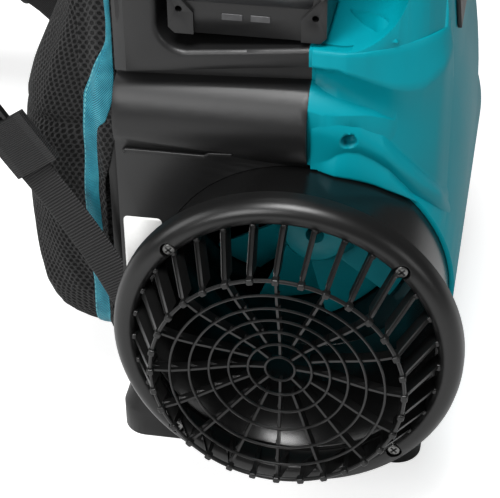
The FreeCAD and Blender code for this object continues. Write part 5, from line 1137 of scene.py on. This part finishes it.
def addPatch(mesh, side, patch, y, z):
    # a thin upright block on a side face, from its x outwards
    middle = (side * (patch["x"] + patch["thick"] / 2), sum(y) / 2, sum(z) / 2)
    addBlock(mesh, middle, (patch["thick"], y[1] - y[0], z[1] - z[0]))


def makePlate(name, plate, side, slot, look, body="housing"):
    mesh = bmesh.new()
    addPatch(mesh, side, plate, plate["y"], plate["z"])
    corners = [edge for edge in mesh.edges
               if abs((edge.verts[0].co - edge.verts[1].co).x) > plate["thick"] / 2]
    bmesh.ops.bevel(mesh, geom=corners, offset=plate["corner"], segments=plate["steps"], profile=0.5,
                    affect="EDGES", material=-1)
    place(name, mesh, slot, body=body, look=look)


def makePanelStep(side):
    mesh = bmesh.new()
    for (y0, z0), (y1, z1) in zip(panelStep["route"], panelStep["route"][1:]):
        run = Vector((0, y1 - y0, z1 - z0))
        addBlock(mesh, (side * panelStep["x"], (y0 + y1) / 2, (z0 + z1) / 2),
                 (panelStep["deep"], run.length + panelStep["lap"], panelStep["high"]),
                 Vector((0, 1, 0)).rotation_difference(run.normalized()))
    roundOff(place(f"panelStep{sideName[side]}", mesh, "housing_grey"), panelStep["edge"])


def makeMarks(side, body):
    mesh = bmesh.new()
    for span in marks["spans"]:
        addPatch(mesh, side, marks, span, marks["z"])
    roundOff(place(f"batteryMarks{sideName[side]}", mesh, "battery_black", body=body, look=extras["window"]),
             marks["edge"], 2)


makePlate("labelPlate", label, -1, "housing_grey", extras["plate"])
for side, body in ((-1, "left_battery"), (1, "right_battery")):
    makePanelStep(side)
    makePlate(f"batteryPlate{sideName[side]}", panel, side, "battery_black", extras["panel"], body)
    makeMarks(side, body)
print("plates made")

# Studio: each lamp is (place, size, watts). The camera sees the sky white and the paper lifted towards white.

studio = {
    "floor": 3.0, "gap": 0.0005, "sky": 0.1, "paper": 0.68, "tone": (0.8, 0.8, 0.8, 1),
    "aim": (-0.1, 0, 0.25), "white": (1, 1, 1, 1),
    "lamps": {"left": ((-1.5, 0.7, 1.1), 0.7, 13), "above": ((-0.75, 0.1, 2.1), 0.8, 42),
        "rear": ((-0.7, -1.9, 1.0), 0.8, 5), "front": ((-0.4, 1.9, 1.2), 1.0, 12)}}


def makeFloor():
    bpy.ops.mesh.primitive_plane_add(size=studio["floor"] * 2)
    floor = bpy.context.object
    floor.name = "floor"
    floor.location.z = -studio["gap"]
    paper = Finish("paper", Roughness=0.9, Base_Color=studio["tone"])
    plain = Wire(paper, paper.shader.outputs[0])
    glow = paper.node("ShaderNodeEmission", {}, {"Color": studio["white"], "Strength": studio["paper"]})
    both = paper.node("ShaderNodeAddShader", {}, (plain, glow))
    seen = paper.node("ShaderNodeLightPath", out="Is Camera Ray")
    shown = paper.node("ShaderNodeMixShader", {}, {0: seen, 1: plain, 2: both})
    paper.tree.links.new(shown.socket, paper.tree.nodes["Material Output"].inputs[0])
    floor.data.materials.append(paper.material)


def makeLamps():
    for name, (spot, size, power) in studio["lamps"].items():
        data = bpy.data.lights.new(name, "AREA")
        data.size, data.energy = size, power
        lamp = bpy.data.objects.new(name, data)
        lamp.location = spot
        lamp.rotation_euler = (Vector(studio["aim"]) - lamp.location).to_track_quat("-Z", "Y").to_euler()
        scene.collection.objects.link(lamp)


def makeSky():
    world = bpy.data.worlds.new("studio")
    world.use_nodes = True
    sky = world.node_tree
    background = sky.nodes["Background"]
    background.inputs["Color"].default_value = studio["white"]
    path = sky.nodes.new("ShaderNodeLightPath")
    lift = sky.nodes.new("ShaderNodeMapRange")
    lift.inputs["To Min"].default_value, lift.inputs["To Max"].default_value = studio["sky"], 1.0
    sky.links.new(path.outputs["Is Camera Ray"], lift.inputs["Value"])
    sky.links.new(lift.outputs[0], background.inputs["Strength"])
    scene.world = world


makeFloor()
makeLamps()
makeSky()
scene.view_settings.view_transform = "Standard"
print("studio lit")
